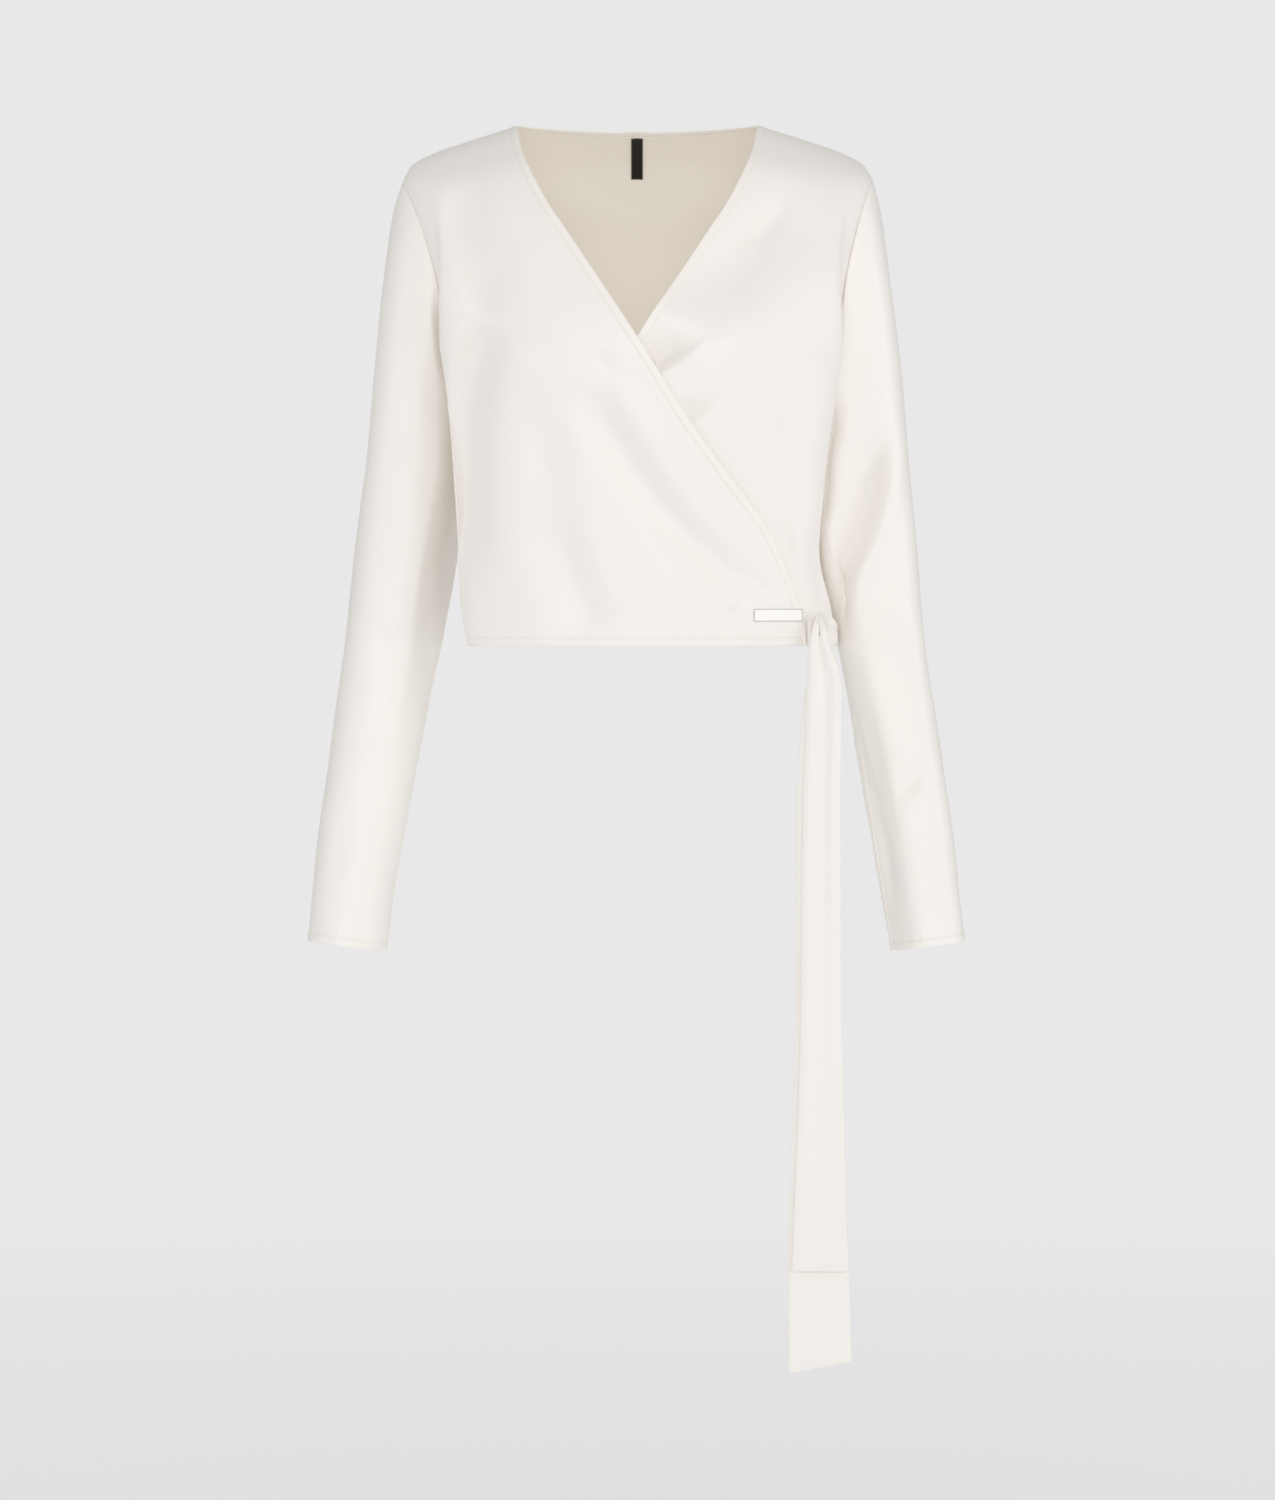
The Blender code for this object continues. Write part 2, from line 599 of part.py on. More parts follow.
def sleeve(name, side):
    """A set-in sleeve, open at the armhole and the cuff."""
    def surface(turn, ring):
        return sleeve_point(side, ring, math.degrees(turn))
    grid = []
    for i in range(SLEEVE_STEPS + 1):
        ring = (len(SLEEVE) - 1) * i / SLEEVE_STEPS
        line = []
        for j in range(SLEEVE_SIDES):
            angle = 360.0 * j / SLEEVE_SIDES
            if i == 0:
                line.append((armhole_point(side, angle, into_body=False),
                             armhole_normal(side, angle)))
            else:
                normal = normal_of(surface, math.radians(angle), ring) * side
                line.append((surface(math.radians(angle), ring), normal))
        grid.append(line)
    wall(name, grid, CLOTH, SATIN, closed=True)


# --- ties ------------------------------------------------------------------------

def tail_point(rows, across, step):
    """Outer face of a hanging tie end: across 0 to 1 from the inner to the outer edge."""
    z, left, right, y, pleat = (spline([r[c] for r in rows], step) for c in range(5))
    slant = step / (len(rows) - 1)
    if rows is TAIL_REAR:
        z += TAIL_END_SLANT * (across - 0.5) * slant ** TAIL_SLANT_POWER
    wave = math.cos(2 * math.pi * TAIL_PLEATS * (across + TAIL_PLEAT_SHIFT))
    return Vector((left + (right - left) * across, y + pleat * wave, z))


def tail(name, rows):
    """A hanging end of the tie."""
    def surface(across, step):
        return tail_point(rows, across, step)
    grid = []
    for i in range(TAIL_STEPS + 1):
        step = (len(rows) - 1) * i / TAIL_STEPS
        line = []
        for j in range(TAIL_COLUMNS + 1):
            across = j / TAIL_COLUMNS
            line.append((surface(across, step), -normal_of(surface, across, step)))
        grid.append(line)
    wall(name, grid, CLOTH, SATIN)


def knot():
    """The knot: a rounded lump with the turns of the tie as ridges round it."""
    mesh = bpy.data.meshes.new("knot")
    bm = bmesh.new()
    bmesh.ops.create_uvsphere(bm, u_segments=KNOT_SIDES, v_segments=KNOT_RINGS, radius=1.0)
    for vert in bm.verts:
        unit = vert.co.copy()
        total = sum(abs(c) ** KNOT_SQUARE for c in unit) ** (1 / KNOT_SQUARE)
        ridge = KNOT_RIDGE * math.cos(2 * math.pi * KNOT_WRAPS * unit.dot(KNOT_WRAP_AXIS))
        spread = Vector([unit[i] / total * KNOT_HALF[i] for i in range(3)])
        vert.co = KNOT_CENTRE + spread - unit * KNOT_RIDGE + unit * ridge
    bmesh.ops.recalc_face_normals(bm, faces=bm.faces)
    bm.to_mesh(mesh)
    bm.free()
    add_object("knot", mesh, SATIN)


def strap(name, shape, start, end):
    """A short stretch of tie from a seam to the knot, gathered towards the knot."""
    start = Vector((start[0], start[1], shape.start_z))
    end = Vector((end[0], end[1], shape.end_z))
    out = (end - start).cross(Vector((0, 0, 1))).normalized()

    def surface(along, up):
        width = shape.start_width + (shape.end_width - shape.start_width) * along
        wave = shape.pleat * along * math.cos(2 * math.pi * STRAP_PLEATS * up)
        return start.lerp(end, along) + Vector((0, 0, width * (up - 0.5))) + out * wave

    grid = []
    for i in range(STRAP_STEPS + 1):
        line = []
        for j in range(STRAP_STEPS + 1):
            along, up = i / STRAP_STEPS, j / STRAP_STEPS
            line.append((surface(along, up), normal_of(surface, along, up)))
        grid.append(line)
    wall(name, grid, CLOTH, SATIN)


def tie_stretches():
    """The two short stretches that run into the knot."""
    corner = body(edge_across(-1, 0.0, 0.0), 0.0)
    knot_left = KNOT_CENTRE.x - KNOT_HALF.x - KNOT_GAP
    knot_back = KNOT_CENTRE.y + KNOT_HALF.y + KNOT_GAP
    strap("tie_over", TIE_OVER, (corner.x + TIE_SEAM_GAP, corner.y - CLOTH),
          (knot_left, KNOT_CENTRE.y))
    strap("tie_side", TIE_SIDE, TIE_SIDE_SEAM, (TIE_SIDE_END_X, knot_back))


# --- labels ----------------------------------------------------------------------

def hem_label():
    """The blank woven label, sewn flat on the top front beside the knot."""
    rise = PROUD + SEAM_GAP + LABEL
    grid = []
    for i in range(HEM_LABEL_ROWS + 1):
        height = HEM_LABEL_BOTTOM + (HEM_LABEL_TOP - HEM_LABEL_BOTTOM) * i / HEM_LABEL_ROWS
        row = front_row_at(height)
        line = []
        for j in range(HEM_LABEL_COLUMNS + 1):
            x = HEM_LABEL_LEFT + (HEM_LABEL_RIGHT - HEM_LABEL_LEFT) * j / HEM_LABEL_COLUMNS
            across = across_at(x, row)
            normal = normal_of(body_fold, across, row)
            line.append((body_fold(across, row) + normal * rise, normal))
        grid.append(line)
    wall("label_hem", grid, LABEL, LABEL_WHITE)


def front_row_at(height):
    """Row of the front that lies at a height below the underarm."""
    return turning_place(0.0, float(UNDERARM_ROW), lambda row: spline(PROFILE_Z, row) < height)


def across_at(x, row):
    """Across value at which a row passes x."""
    return turning_place(-1.0, 1.0, lambda across: body(across, row).x < x)


def on_panel(grid, i, j):
    """Place and normal on a panel's own facets, by row and column of its mesh."""
    row, column = min(int(i), len(grid) - 2), min(int(j), len(grid[0]) - 2)
    down, along = i - row, j - column
    corners = (grid[row][column], grid[row][column + 1],
               grid[row + 1][column], grid[row + 1][column + 1])
    shares = ((1 - down) * (1 - along), (1 - down) * along, down * (1 - along), down * along)
    point = sum((c[0] * s for c, s in zip(corners, shares)), Vector())
    normal = sum((c[1] * s for c, s in zip(corners, shares)), Vector())
    return point, normal.normalized()


def neck_label(panel):
    """The blank woven label that hangs inside the back neck."""
    middle = len(panel[0]) // 2
    pitch = panel[-2][middle + 1][0].x - panel[-2][middle][0].x
    drop = CLOTH + SEAM_GAP
    grid = []
    for i in range(NECK_LABEL_STEPS + 1):
        row = ROWS - NECK_LABEL_START - NECK_LABEL_LENGTH * i / NECK_LABEL_STEPS
        line = []
        for share in (-1, 0, 1):
            point, normal = on_panel(panel, row, middle + share * NECK_LABEL_HALF / pitch)
            line.append((point - normal * drop, normal))
        grid.append(line)
    wall("label_neck", grid, LABEL, LABEL_BLACK)


def under_surface(across, row):
    """The under front's outer face, inside the top one where that covers it."""
    drop = under_drop(across, row)
    return body_fold(across, row) - normal_of(body, across, row) * drop


def main():
    for old in list(bpy.data.objects):
        bpy.data.objects.remove(old, do_unlink=True)
    top = bpy.data.objects.new("wrap_top", None)
    bpy.context.scene.collection.objects.link(top)
    back = back_panel()
    front_panel("front_over", -1, body_fold, 1.0)
    front_panel("front_under", 1, under_surface, HIDDEN_REACH)
    front_edge("edge_over", -1, body_fold, 1.0)
    front_edge("edge_under", 1, under_surface, HIDDEN_REACH)
    neck_edge()
    sleeve("sleeve_right", -1)
    sleeve("sleeve_left", 1)
    tie_stretches()
    knot()
    tail("tail_front", TAIL_FRONT)
    tail("tail_rear", TAIL_REAR)
    hem_label()
    neck_label(back)


main()
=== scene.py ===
"""Dresses a satin wrap top over its solid frame: cloth, creases, ties, seams and stage.

Metres, +Z up. The wearer faces -Y, and the wearer's left is +X. The body is one smooth
surface whose places are given by an across value and a row, as in the frame's own
source: rows run from 0 at the front hem, through 5 at the underarm and 11 on the
shoulder seam, to 22 at the back hem, and across runs from -1 at the wearer's right side
to 1 at the left. A sleeve's places are given by a ring, from 0 at the armhole to 10 at
the cuff, and an angle: 0 outside, 90 in front, 180 towards the body and 270 behind.
"""

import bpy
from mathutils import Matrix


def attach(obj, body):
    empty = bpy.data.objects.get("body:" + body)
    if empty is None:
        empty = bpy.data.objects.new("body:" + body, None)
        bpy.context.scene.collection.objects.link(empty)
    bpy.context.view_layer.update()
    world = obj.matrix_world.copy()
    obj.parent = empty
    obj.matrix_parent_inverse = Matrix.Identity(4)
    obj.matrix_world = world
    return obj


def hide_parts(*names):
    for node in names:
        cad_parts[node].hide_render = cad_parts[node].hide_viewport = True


bl_info = {
    "name": "Satin Wrap Top",
    "version": (1, 0, 0),
    "blender": (4, 5, 0),
    "location": "View3D > Sidebar > Wrap Top",
    "description": "Sews a satin wrap top with its creases, bias edges, ties and stitching",
    "category": "Add Mesh",
}

import math
from collections import namedtuple

import bpy
import numpy as np
from bpy.props import FloatProperty, FloatVectorProperty, PointerProperty

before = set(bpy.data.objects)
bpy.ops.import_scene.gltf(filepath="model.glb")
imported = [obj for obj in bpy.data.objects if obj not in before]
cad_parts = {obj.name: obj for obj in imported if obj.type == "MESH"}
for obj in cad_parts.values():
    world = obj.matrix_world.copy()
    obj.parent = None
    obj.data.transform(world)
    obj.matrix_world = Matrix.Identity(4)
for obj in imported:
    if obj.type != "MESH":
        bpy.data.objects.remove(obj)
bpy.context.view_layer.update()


def table(kind, rows):
    """Rows of plain values as rows with named columns."""
    return tuple(kind(*row) for row in rows)


# --- form of the body and the sleeves, as the frame has it ---

UNDERARM_ROW = 5
SHOULDER_ROW = 11
BACK_HEM_ROW = 22
SIDE_ROUNDNESS = 0.85     # below 1 the sections are fuller than an ellipse
FULLNESS = 0.58           # and fuller still as this falls below 1

NECK_HALF_WIDTH = 0.096   # neck point to centre
NECK_ROWS = 0.58          # how far the back neck dips below the shoulder seam, in rows
NECK_EDGE_ROWS = 0.085    # the bias edge's width at the centre back, in rows
NECK_CURVE = 0.6          # how squarely the back neck meets the shoulder seam

LAYER_DROP = 0.0022       # the under front lies this far inside the top one's edge
LAYER_NEAR = 0.0040       # in full up to this far past the edge
LAYER_FADE = 0.0320       # and fading out over this distance
HIDDEN_DROP = 0.0030      # and this much further in where the top one covers it
HIDDEN_FADE = 0.0400      # growing over this distance behind the edge

SIDE_PLAIN = 0.12         # this much of the rows' ends has no creases, in across values
SIDE_FADE = 0.12          # and this much beside it has them growing
SIDEWAYS_PRESS = 0.15     # share of the sideways part of a panel's relief that is kept
SHOULDER_FADE = 1.5       # creases end this near the shoulder seam, in rows
PRESS_TURN = 0.6          # share of the plain ends over which relief turns to their normal
ARMHOLE_FADE, CUFF_FADE = 0.6, 0.5   # of a sleeve's creases, in rings
HIDDEN_SHOWN = 0.030      # the under front's own creases end this far behind the edge
PANEL_INSET = 0.75        # a panel ends inside its bias edge: share of the edge's width
HIDDEN_REACH = 0.86       # the under front's hidden edge, as a share of the same line

CORNER_HEIGHT = -0.3734   # the wrapped edge ends and the tie's seam starts here
CORNER_SEAM = 0.53        # the bias edge's share of its width where it runs out
CORNER_LENGTH = 0.020     # length over which it narrows

# Section of the body below the underarm: half widths to the side seams, and depths
Lower = namedtuple("Lower", "right_x left_x side_y side_z front_y front_z back_y back_z")
LOWER = table(Lower, (
    (0.1340, 0.1590, 0.004, -0.3966, -0.088, -0.3990, 0.079, -0.3895),
    (0.1385, 0.1540, 0.004, -0.368, -0.090, -0.368, 0.081, -0.3640),
    (0.1408, 0.1430, 0.004, -0.325, -0.094, -0.325, 0.084, -0.3240),
    (0.1365, 0.1425, 0.004, -0.270, -0.101, -0.270, 0.089, -0.2700),
    (0.1400, 0.1480, 0.003, -0.218, -0.109, -0.218, 0.094, -0.2180),
    (0.1495, 0.1600, 0.002, -0.170, -0.115, -0.172, 0.099, -0.1720),
))

# The yoke: a row every 30 degrees round the armhole, from the underarm to the shoulder
Upper = namedtuple("Upper", "front_y front_z back_y back_z")
UPPER = table(Upper, (
    (-0.115, -0.172, 0.099, -0.172),
    (-0.114, -0.150, 0.102, -0.150),
    (-0.108, -0.120, 0.103, -0.120),
    (-0.096, -0.082, 0.100, -0.082),
    (-0.079, -0.042, 0.090, -0.042),
    (-0.050, -0.001, 0.068, 0.002),
    (0.002, 0.033, 0.002, 0.033),
))
FULL_TURN = 90            # of the section from its middle to the side, below the underarm
SHOULDER_TURN = 58        # and at the shoulder seam, where it is flatter

# Fall of the shoulder line: share of the half width, share of the whole fall
SHOULDER_FALL = (
    (0.0, 0.0), (0.27, 0.075), (0.51, 0.225), (0.668, 0.374), (0.753, 0.464),
    (0.838, 0.559), (0.923, 0.690), (0.966, 0.800), (1.0, 1.0),
)

# Wrapped front edge: height, and distance from the centre towards its own shoulder
EDGE_LINE = (
    (-0.3970, -0.1335), (-0.3734, -0.1309), (-0.3656, -0.1283), (-0.3422, -0.1201),
    (-0.3073, -0.1040), (-0.2649, -0.0724), (-0.2225, -0.0410), (-0.1852, -0.0176),
    (-0.1570, 0.0), (-0.1100, 0.0306), (-0.0680, 0.0580), (-0.0500, 0.0697),
    (-0.0290, 0.0809), (-0.0042, 0.0914), (0.0190, 0.0960),
)

# Sleeves: outer and inner line of each ring, its place in depth, and how far the
# front and back of the ring are drawn in towards the body
Ring = namedtuple("Ring", "outer_right outer_left outer_z inner_right inner_left inner_z "
                          "mid_y half_depth drawn_in")
SLEEVE = table(Ring, (
    (0.1880, 0.1893, -0.026, 0.1495, 0.1600, -0.170, 0.002, 0.0500, 0.008),
    (0.1950, 0.1957, -0.052, 0.1475, 0.1595, -0.182, 0.008, 0.0560, 0.005),
    (0.2005, 0.2005, -0.086, 0.1450, 0.1550, -0.192, 0.014, 0.0600, 0.002),
    (0.2062, 0.2058, -0.130, 0.1426, 0.1512, -0.206, 0.020, 0.0620, 0.000),
    (0.2122, 0.2118, -0.185, 0.1405, 0.1482, -0.228, 0.026, 0.0620, 0.000),
    (0.2180, 0.2172, -0.245, 0.1398, 0.1442, -0.266, 0.030, 0.0590, 0.000),
    (0.2270, 0.2248, -0.320, 0.1478, 0.1480, -0.333, 0.032, 0.0540, 0.000),
    (0.2360, 0.2322, -0.400, 0.1612, 0.1648, -0.410, 0.029, 0.0480, 0.000),
    (0.2465, 0.2440, -0.480, 0.1762, 0.1772, -0.489, 0.020, 0.0430, 0.000),
    (0.2568, 0.2550, -0.560, 0.1905, 0.1905, -0.568, 0.006, 0.0380, 0.000),
    (0.2625, 0.2612, -0.632, 0.1998, 0.2028, -0.640, -0.010, 0.0350, 0.000),
))
CUFF_RING = len(SLEEVE) - 1

# Each sleeve lies beside the body with a squarer corner in front: right, left
CORNER_POWER = (          # 2 is an ellipse
    (2.0, 2.0, 2.0, 2.0, 2.0, 2.0, 2.0, 2.0, 2.0, 2.0, 2.0),
    (2.0, 6.0, 8.0, 8.0, 8.0, 7.6, 6.6, 3.6, 2.2, 2.0, 2.0),
)

# The same power for the outer corner of both sleeves
OUTER_POWER = (2.0, 2.4, 2.8, 3.0, 3.0, 3.0, 2.9, 2.7, 2.6, 2.5, 2.4)
LEFT_OUTER = 1.5          # the left sleeve's outer power, as a multiple of that

# How far the inner part of each sleeve is pressed back, as the body lies on it
PRESSED = (
    (0.010, 0.036, 0.036, 0.031, 0.030, 0.044, 0.060, 0.020, 0.000, 0.000, 0.000),
    (0.000, 0.000, 0.000, 0.000, 0.000, 0.000, 0.000, 0.006, 0.024, 0.012, 0.002),
)

# Shares of the half width where that begins
PRESSED_FROM = (
    (0.20, 0.16, 0.34, 0.54, 0.52, 0.47, 0.38, 0.40, 0.40, 0.40, 0.40),
    (0.45, 0.45, 0.45, 0.45, 0.45, 0.45, 0.45, 0.42, 0.32, 0.30, 0.30),
)
PRESSED_BEHIND = 0.6      # share of that which the sleeve's hidden side moves with it
PRESSED_HOLLOW = 0.3      # most of the tube's depth that goes
PRESSED_REACH = 0.55      # share of the half width over which it grows

# Angle of the underarm seam at each ring: right, left
SEAM_ANGLE = (
    (178, 178, 178, 178, 178, 178, 178, 178, 178, 178, 178),
    (163, 161, 158, 154, 149, 143, 134, 154, 160, 161, 162),
)

# How far each panel hangs out over the sleeve beside it, at each row from the hem up
OVERHANG = (
    (0.0060, 0.0068, 0.0080, 0.0156, 0.0158, 0.0122, 0.0140, 0.0142, 0.0098, 0.0030, 0, 0),
    (0.0060, 0.0068, 0.0077, 0.0117, 0.0132, 0.0096, 0.0105, 0.0115, 0.0090, 0.0040, 0, 0),
)
BACK_OVERHANG = 0.3       # of the back panel, as a share of that
OVERHANG_PLACE = (0.50, 0.80, 0.93)   # across values where that begins, is full and ends
SIDE_SAMPLES = 8          # per row, of the ends of the rows
SIDE_SPREAD = 0.7         # rows over which their bend at the underarm spreads inwards

# --- creases, placed one by one ---

# A trough along a line of places, its reach to the left and the right of that line,
# its depth, the ridge beside it on the left as a share of the depth, and the shares of
# its length over which it starts and ends. Lines on the body are in x and z.
Crease = namedtuple("Crease", "line left right depth ridge start end")
RIDGE_PLACE, RIDGE_REACH = 1.9, 0.9   # of the ridge, in the crease's reaches
FRONT_CREASES = table(Crease, (
    # long trough beside the wrapped edge
    (((-0.0512, -0.1915), (-0.0371, -0.211), (-0.0191, -0.2361), (-0.0011, -0.2643),
     (0.02, -0.2932), (0.0411, -0.3159), (0.0662, -0.3394), (0.0873, -0.3605), (0.1123, -0.3785)),
     0.013, 0.016, 0.0068, 0.35, 0.25, 0.35),
    (((-0.033, -0.165), (-0.026, -0.179), (-0.015, -0.193)), 0.007, 0.006, 0.0012, 0.3, 0.5, 0.5),
    # armhole to the right bust, in two strokes
    (((-0.15, -0.03), (-0.136, -0.075), (-0.122, -0.118), (-0.116, -0.15)), 0.017, 0.012, 0.0092,
     0.25, 0.3, 0.45),
    (((-0.115, -0.03), (-0.105, -0.08), (-0.09, -0.125)), 0.015, 0.012, 0.002, 0.2, 0.5, 0.5),
    # right bust down the side
    (((-0.113, -0.135), (-0.125, -0.16), (-0.134, -0.195), (-0.137, -0.25), (-0.137, -0.315),
     (-0.134, -0.37)), 0.018, 0.012, 0.0125, 0.2, 0.25, 0.35),
    # soft upright folds over the belly
    (((-0.078, -0.205), (-0.07, -0.255), (-0.074, -0.295)), 0.017, 0.013, 0.003, 0.3, 0.45, 0.55),
    (((-0.074, -0.26), (-0.063, -0.31), (-0.047, -0.355), (-0.026, -0.396)), 0.014, 0.022, 0.0042,
     0.3, 0.45, 0.2),
    # pulls towards the knot
    (((0.052, -0.36), (0.07, -0.364), (0.09, -0.366)), 0.005, 0.006, 0.0018, 0.4, 0.6, 0.3),
    (((0.07, -0.33), (0.09, -0.344), (0.108, -0.362)), 0.006, 0.008, 0.0022, 0.35, 0.6, 0.25),
    (((0.096, -0.385), (0.112, -0.387), (0.128, -0.389)), 0.004, 0.005, 0.0012, 0.3, 0.5, 0.2),
))
UNDER_CREASES = table(Crease, (
    # the tuck that the crossing pulls into the under front
    (((0.012, -0.1815), (0.019, -0.1785), (0.029, -0.1725), (0.04, -0.165), (0.056, -0.153)),
     0.021, 0.0034, 0.0122, 0.15, 0.08, 0.5),
    (((0.036, -0.224), (0.047, -0.216), (0.057, -0.21), (0.07, -0.196)), 0.009, 0.004, 0.0052,
     0.3, 0.15, 0.6),
    # armhole to the crossing
    (((0.132, -0.028), (0.099, -0.067), (0.073, -0.096), (0.042, -0.124), (0.018, -0.143)), 0.03,
     0.026, 0.012, 0.25, 0.3, 0.5),
    (((0.128, -0.03), (0.102, -0.064), (0.082, -0.092)), 0.009, 0.009, 0.002, 0.3, 0.5, 0.5),
    # down the left side and towards the knot
    (((0.112, -0.2), (0.116, -0.26), (0.126, -0.32)), 0.012, 0.013, 0.0034, 0.25, 0.4, 0.5),
    (((0.11, -0.295), (0.118, -0.315), (0.124, -0.342)), 0.005, 0.006, 0.0026, 0.3, 0.5, 0.3),
    (((0.14, -0.29), (0.143, -0.335), (0.146, -0.37)), 0.006, 0.007, 0.0024, 0.3, 0.5, 0.2),
))
BACK_CREASES = table(Crease, (
    (((-0.14, -0.09), (-0.112, -0.15), (-0.072, -0.23)), 0.016, 0.014, 0.0036, 0.25, 0.35, 0.5),
    (((0.142, -0.1), (0.118, -0.155), (0.083, -0.225)), 0.014, 0.017, 0.0036, 0.25, 0.35, 0.55),
    (((0.01, -0.21), (0.018, -0.28), (0.026, -0.35)), 0.02, 0.016, 0.0028, 0.25, 0.45, 0.5),
    (((-0.055, -0.27), (-0.048, -0.32), (-0.052, -0.372)), 0.013, 0.012, 0.0022, 0.3, 0.5, 0.35),
    (((0.085, -0.29), (0.092, -0.33), (0.09, -0.37)), 0.011, 0.012, 0.002, 0.3, 0.5, 0.35),
    (((-0.118, -0.26), (-0.112, -0.31), (-0.114, -0.36)), 0.012, 0.011, 0.0022, 0.25, 0.5, 0.4),
    (((-0.07, -0.035), (0.0, -0.05), (0.072, -0.033)), 0.014, 0.012, 0.0016, 0.25, 0.45, 0.45),
    (((-0.1, -0.16), (-0.07, -0.178), (-0.035, -0.185)), 0.01, 0.011, 0.0018, 0.3, 0.5, 0.6),
    (((0.105, -0.205), (0.076, -0.25), (0.052, -0.272)), 0.01, 0.012, 0.002, 0.3, 0.45, 0.6),
))

# Lines on the sleeves are in angle and ring
RIGHT_SLEEVE_CREASES = table(Crease, (
    # the hollow that turns in under the arm
    (((100, 2.2), (120, 3.4), (128, 4.8)), 0.01, 0.012, 0.0022, 0.3, 0.5, 0.5),
    # elbow
    (((60, 6.6), (90, 6.9), (125, 6.7)), 0.01, 0.009, 0.002, 0.35, 0.6, 0.5),
    (((110, 7.5), (80, 7.8), (48, 7.6)), 0.009, 0.01, 0.0016, 0.35, 0.55, 0.55),
    (((225, 6.4), (262, 6.9), (305, 7.1)), 0.013, 0.011, 0.004, 0.35, 0.45, 0.5),
    (((215, 7.6), (255, 7.7), (300, 7.4)), 0.011, 0.012, 0.0034, 0.35, 0.5, 0.5),
    # back of the upper arm
    (((230, 1.0), (255, 2.4), (285, 3.8)), 0.014, 0.014, 0.0034, 0.25, 0.4, 0.6),
    (((205, 2.2), (228, 3.8), (240, 5.4)), 0.012, 0.013, 0.0032, 0.25, 0.45, 0.6),
    # forearm
    (((75, 8.2), (68, 8.9), (72, 9.6)), 0.009, 0.01, 0.0012, 0.3, 0.5, 0.5),
    (((285, 8.0), (292, 8.9), (288, 9.7)), 0.01, 0.011, 0.0018, 0.3, 0.5, 0.5),
    (((20, 2.6), (12, 4.2), (20, 5.8)), 0.012, 0.012, 0.0016, 0.25, 0.5, 0.5),
))
LEFT_SLEEVE_CREASES = table(Crease, (
    # from the outer arm across to the elbow's inside, and down the forearm
    (((62, 4.55), (74, 5.0), (88, 5.4), (102, 5.7), (117, 5.95), (128, 6.2), (134, 6.5),
     (134, 6.95)), 0.0088, 0.0125, 0.0165, 0.2, 0.25, 0.3),
    (((158, 7.0), (156, 7.6), (150, 8.05), (142, 8.5), (138, 8.9), (142, 9.4), (146, 9.8)), 0.009,
     0.012, 0.004, 0.25, 0.3, 0.4),
    # beside the body
    (((123, 2.9), (132, 4.0), (135, 4.55), (136, 5.1), (137, 5.7)), 0.0075, 0.008, 0.01, 0.2, 0.3,
     0.3),
    (((62, 8.1), (84, 8.25), (112, 8.5)), 0.008, 0.009, 0.0026, 0.35, 0.45, 0.5),
    (((40, 6.2), (66, 6.9), (100, 7.2)), 0.01, 0.011, 0.0018, 0.35, 0.5, 0.55),
    # under the arm
    (((140, 1.4), (146, 3.0), (150, 4.6)), 0.013, 0.012, 0.0036, 0.2, 0.4, 0.6),
    (((105, 1.4), (118, 2.6), (124, 3.9)), 0.01, 0.011, 0.0018, 0.3, 0.5, 0.55),
    # elbow and back
    (((228, 6.3), (265, 6.8), (308, 6.9)), 0.012, 0.012, 0.0042, 0.35, 0.45, 0.5),
    (((212, 7.5), (250, 7.8), (296, 7.6)), 0.012, 0.011, 0.0032, 0.35, 0.5, 0.5),
    (((235, 1.2), (258, 2.6), (280, 4.0)), 0.014, 0.013, 0.0034, 0.25, 0.4, 0.6),
    (((208, 2.4), (226, 3.9), (244, 5.3)), 0.012, 0.013, 0.003, 0.25, 0.45, 0.6),
    (((280, 8.1), (290, 9.0), (284, 9.7)), 0.01, 0.011, 0.0018, 0.3, 0.5, 0.5),
    (((15, 3.0), (8, 4.6), (18, 6.0)), 0.012, 0.012, 0.0016, 0.25, 0.5, 0.5),
))

# --- seams, hems and bias edges ---

# Ripples beside a seam or a row of stitches: length, share of the height, and shift
PUCKER_WAVES = ((0.0087, 1.0, 0.0), (0.0131, 0.8, 1.0))
PUCKER_REACH = 0.006
HEM_SOFT = 0.0008         # length over which a turned hem rises
STITCH_DIP = 0.8          # dip at a hem's stitching, as a share of the hem's rise
STITCH_DIP_REACH = 0.0009
FELLED_HALF = 0.0009      # half width of a felled seam
FELLED_SOFT = 0.0004      # length over which it rises, and reach of the dips beside it
FELLED_DIP = 0.9          # depth of those dips, as a share of the seam's own rise
FELLED_DIP_PLACE = 0.0012
BAND_CROWN = 4            # how square a bias edge's section is
BAND_SPREAD = 0.8         # spreads its points towards its two folds
STITCH_PLACE = 0.78       # across a bias edge, from -1 at its fold to 1
STITCH_PINCH = 0.42       # share of the thickness that its stitching presses in
STITCH_PINCH_REACH = 0.22
BAND_RIPPLE = 0.10        # share of the thickness
BAND_RIPPLE_WAVES = (0.0079, 0.031)
STITCH_SLOPE = 2e-4       # half the length over which a stitch's direction is taken
THREAD_RISE = 0.1         # of a stitch above the cloth, in thread diameters

# --- ties ---

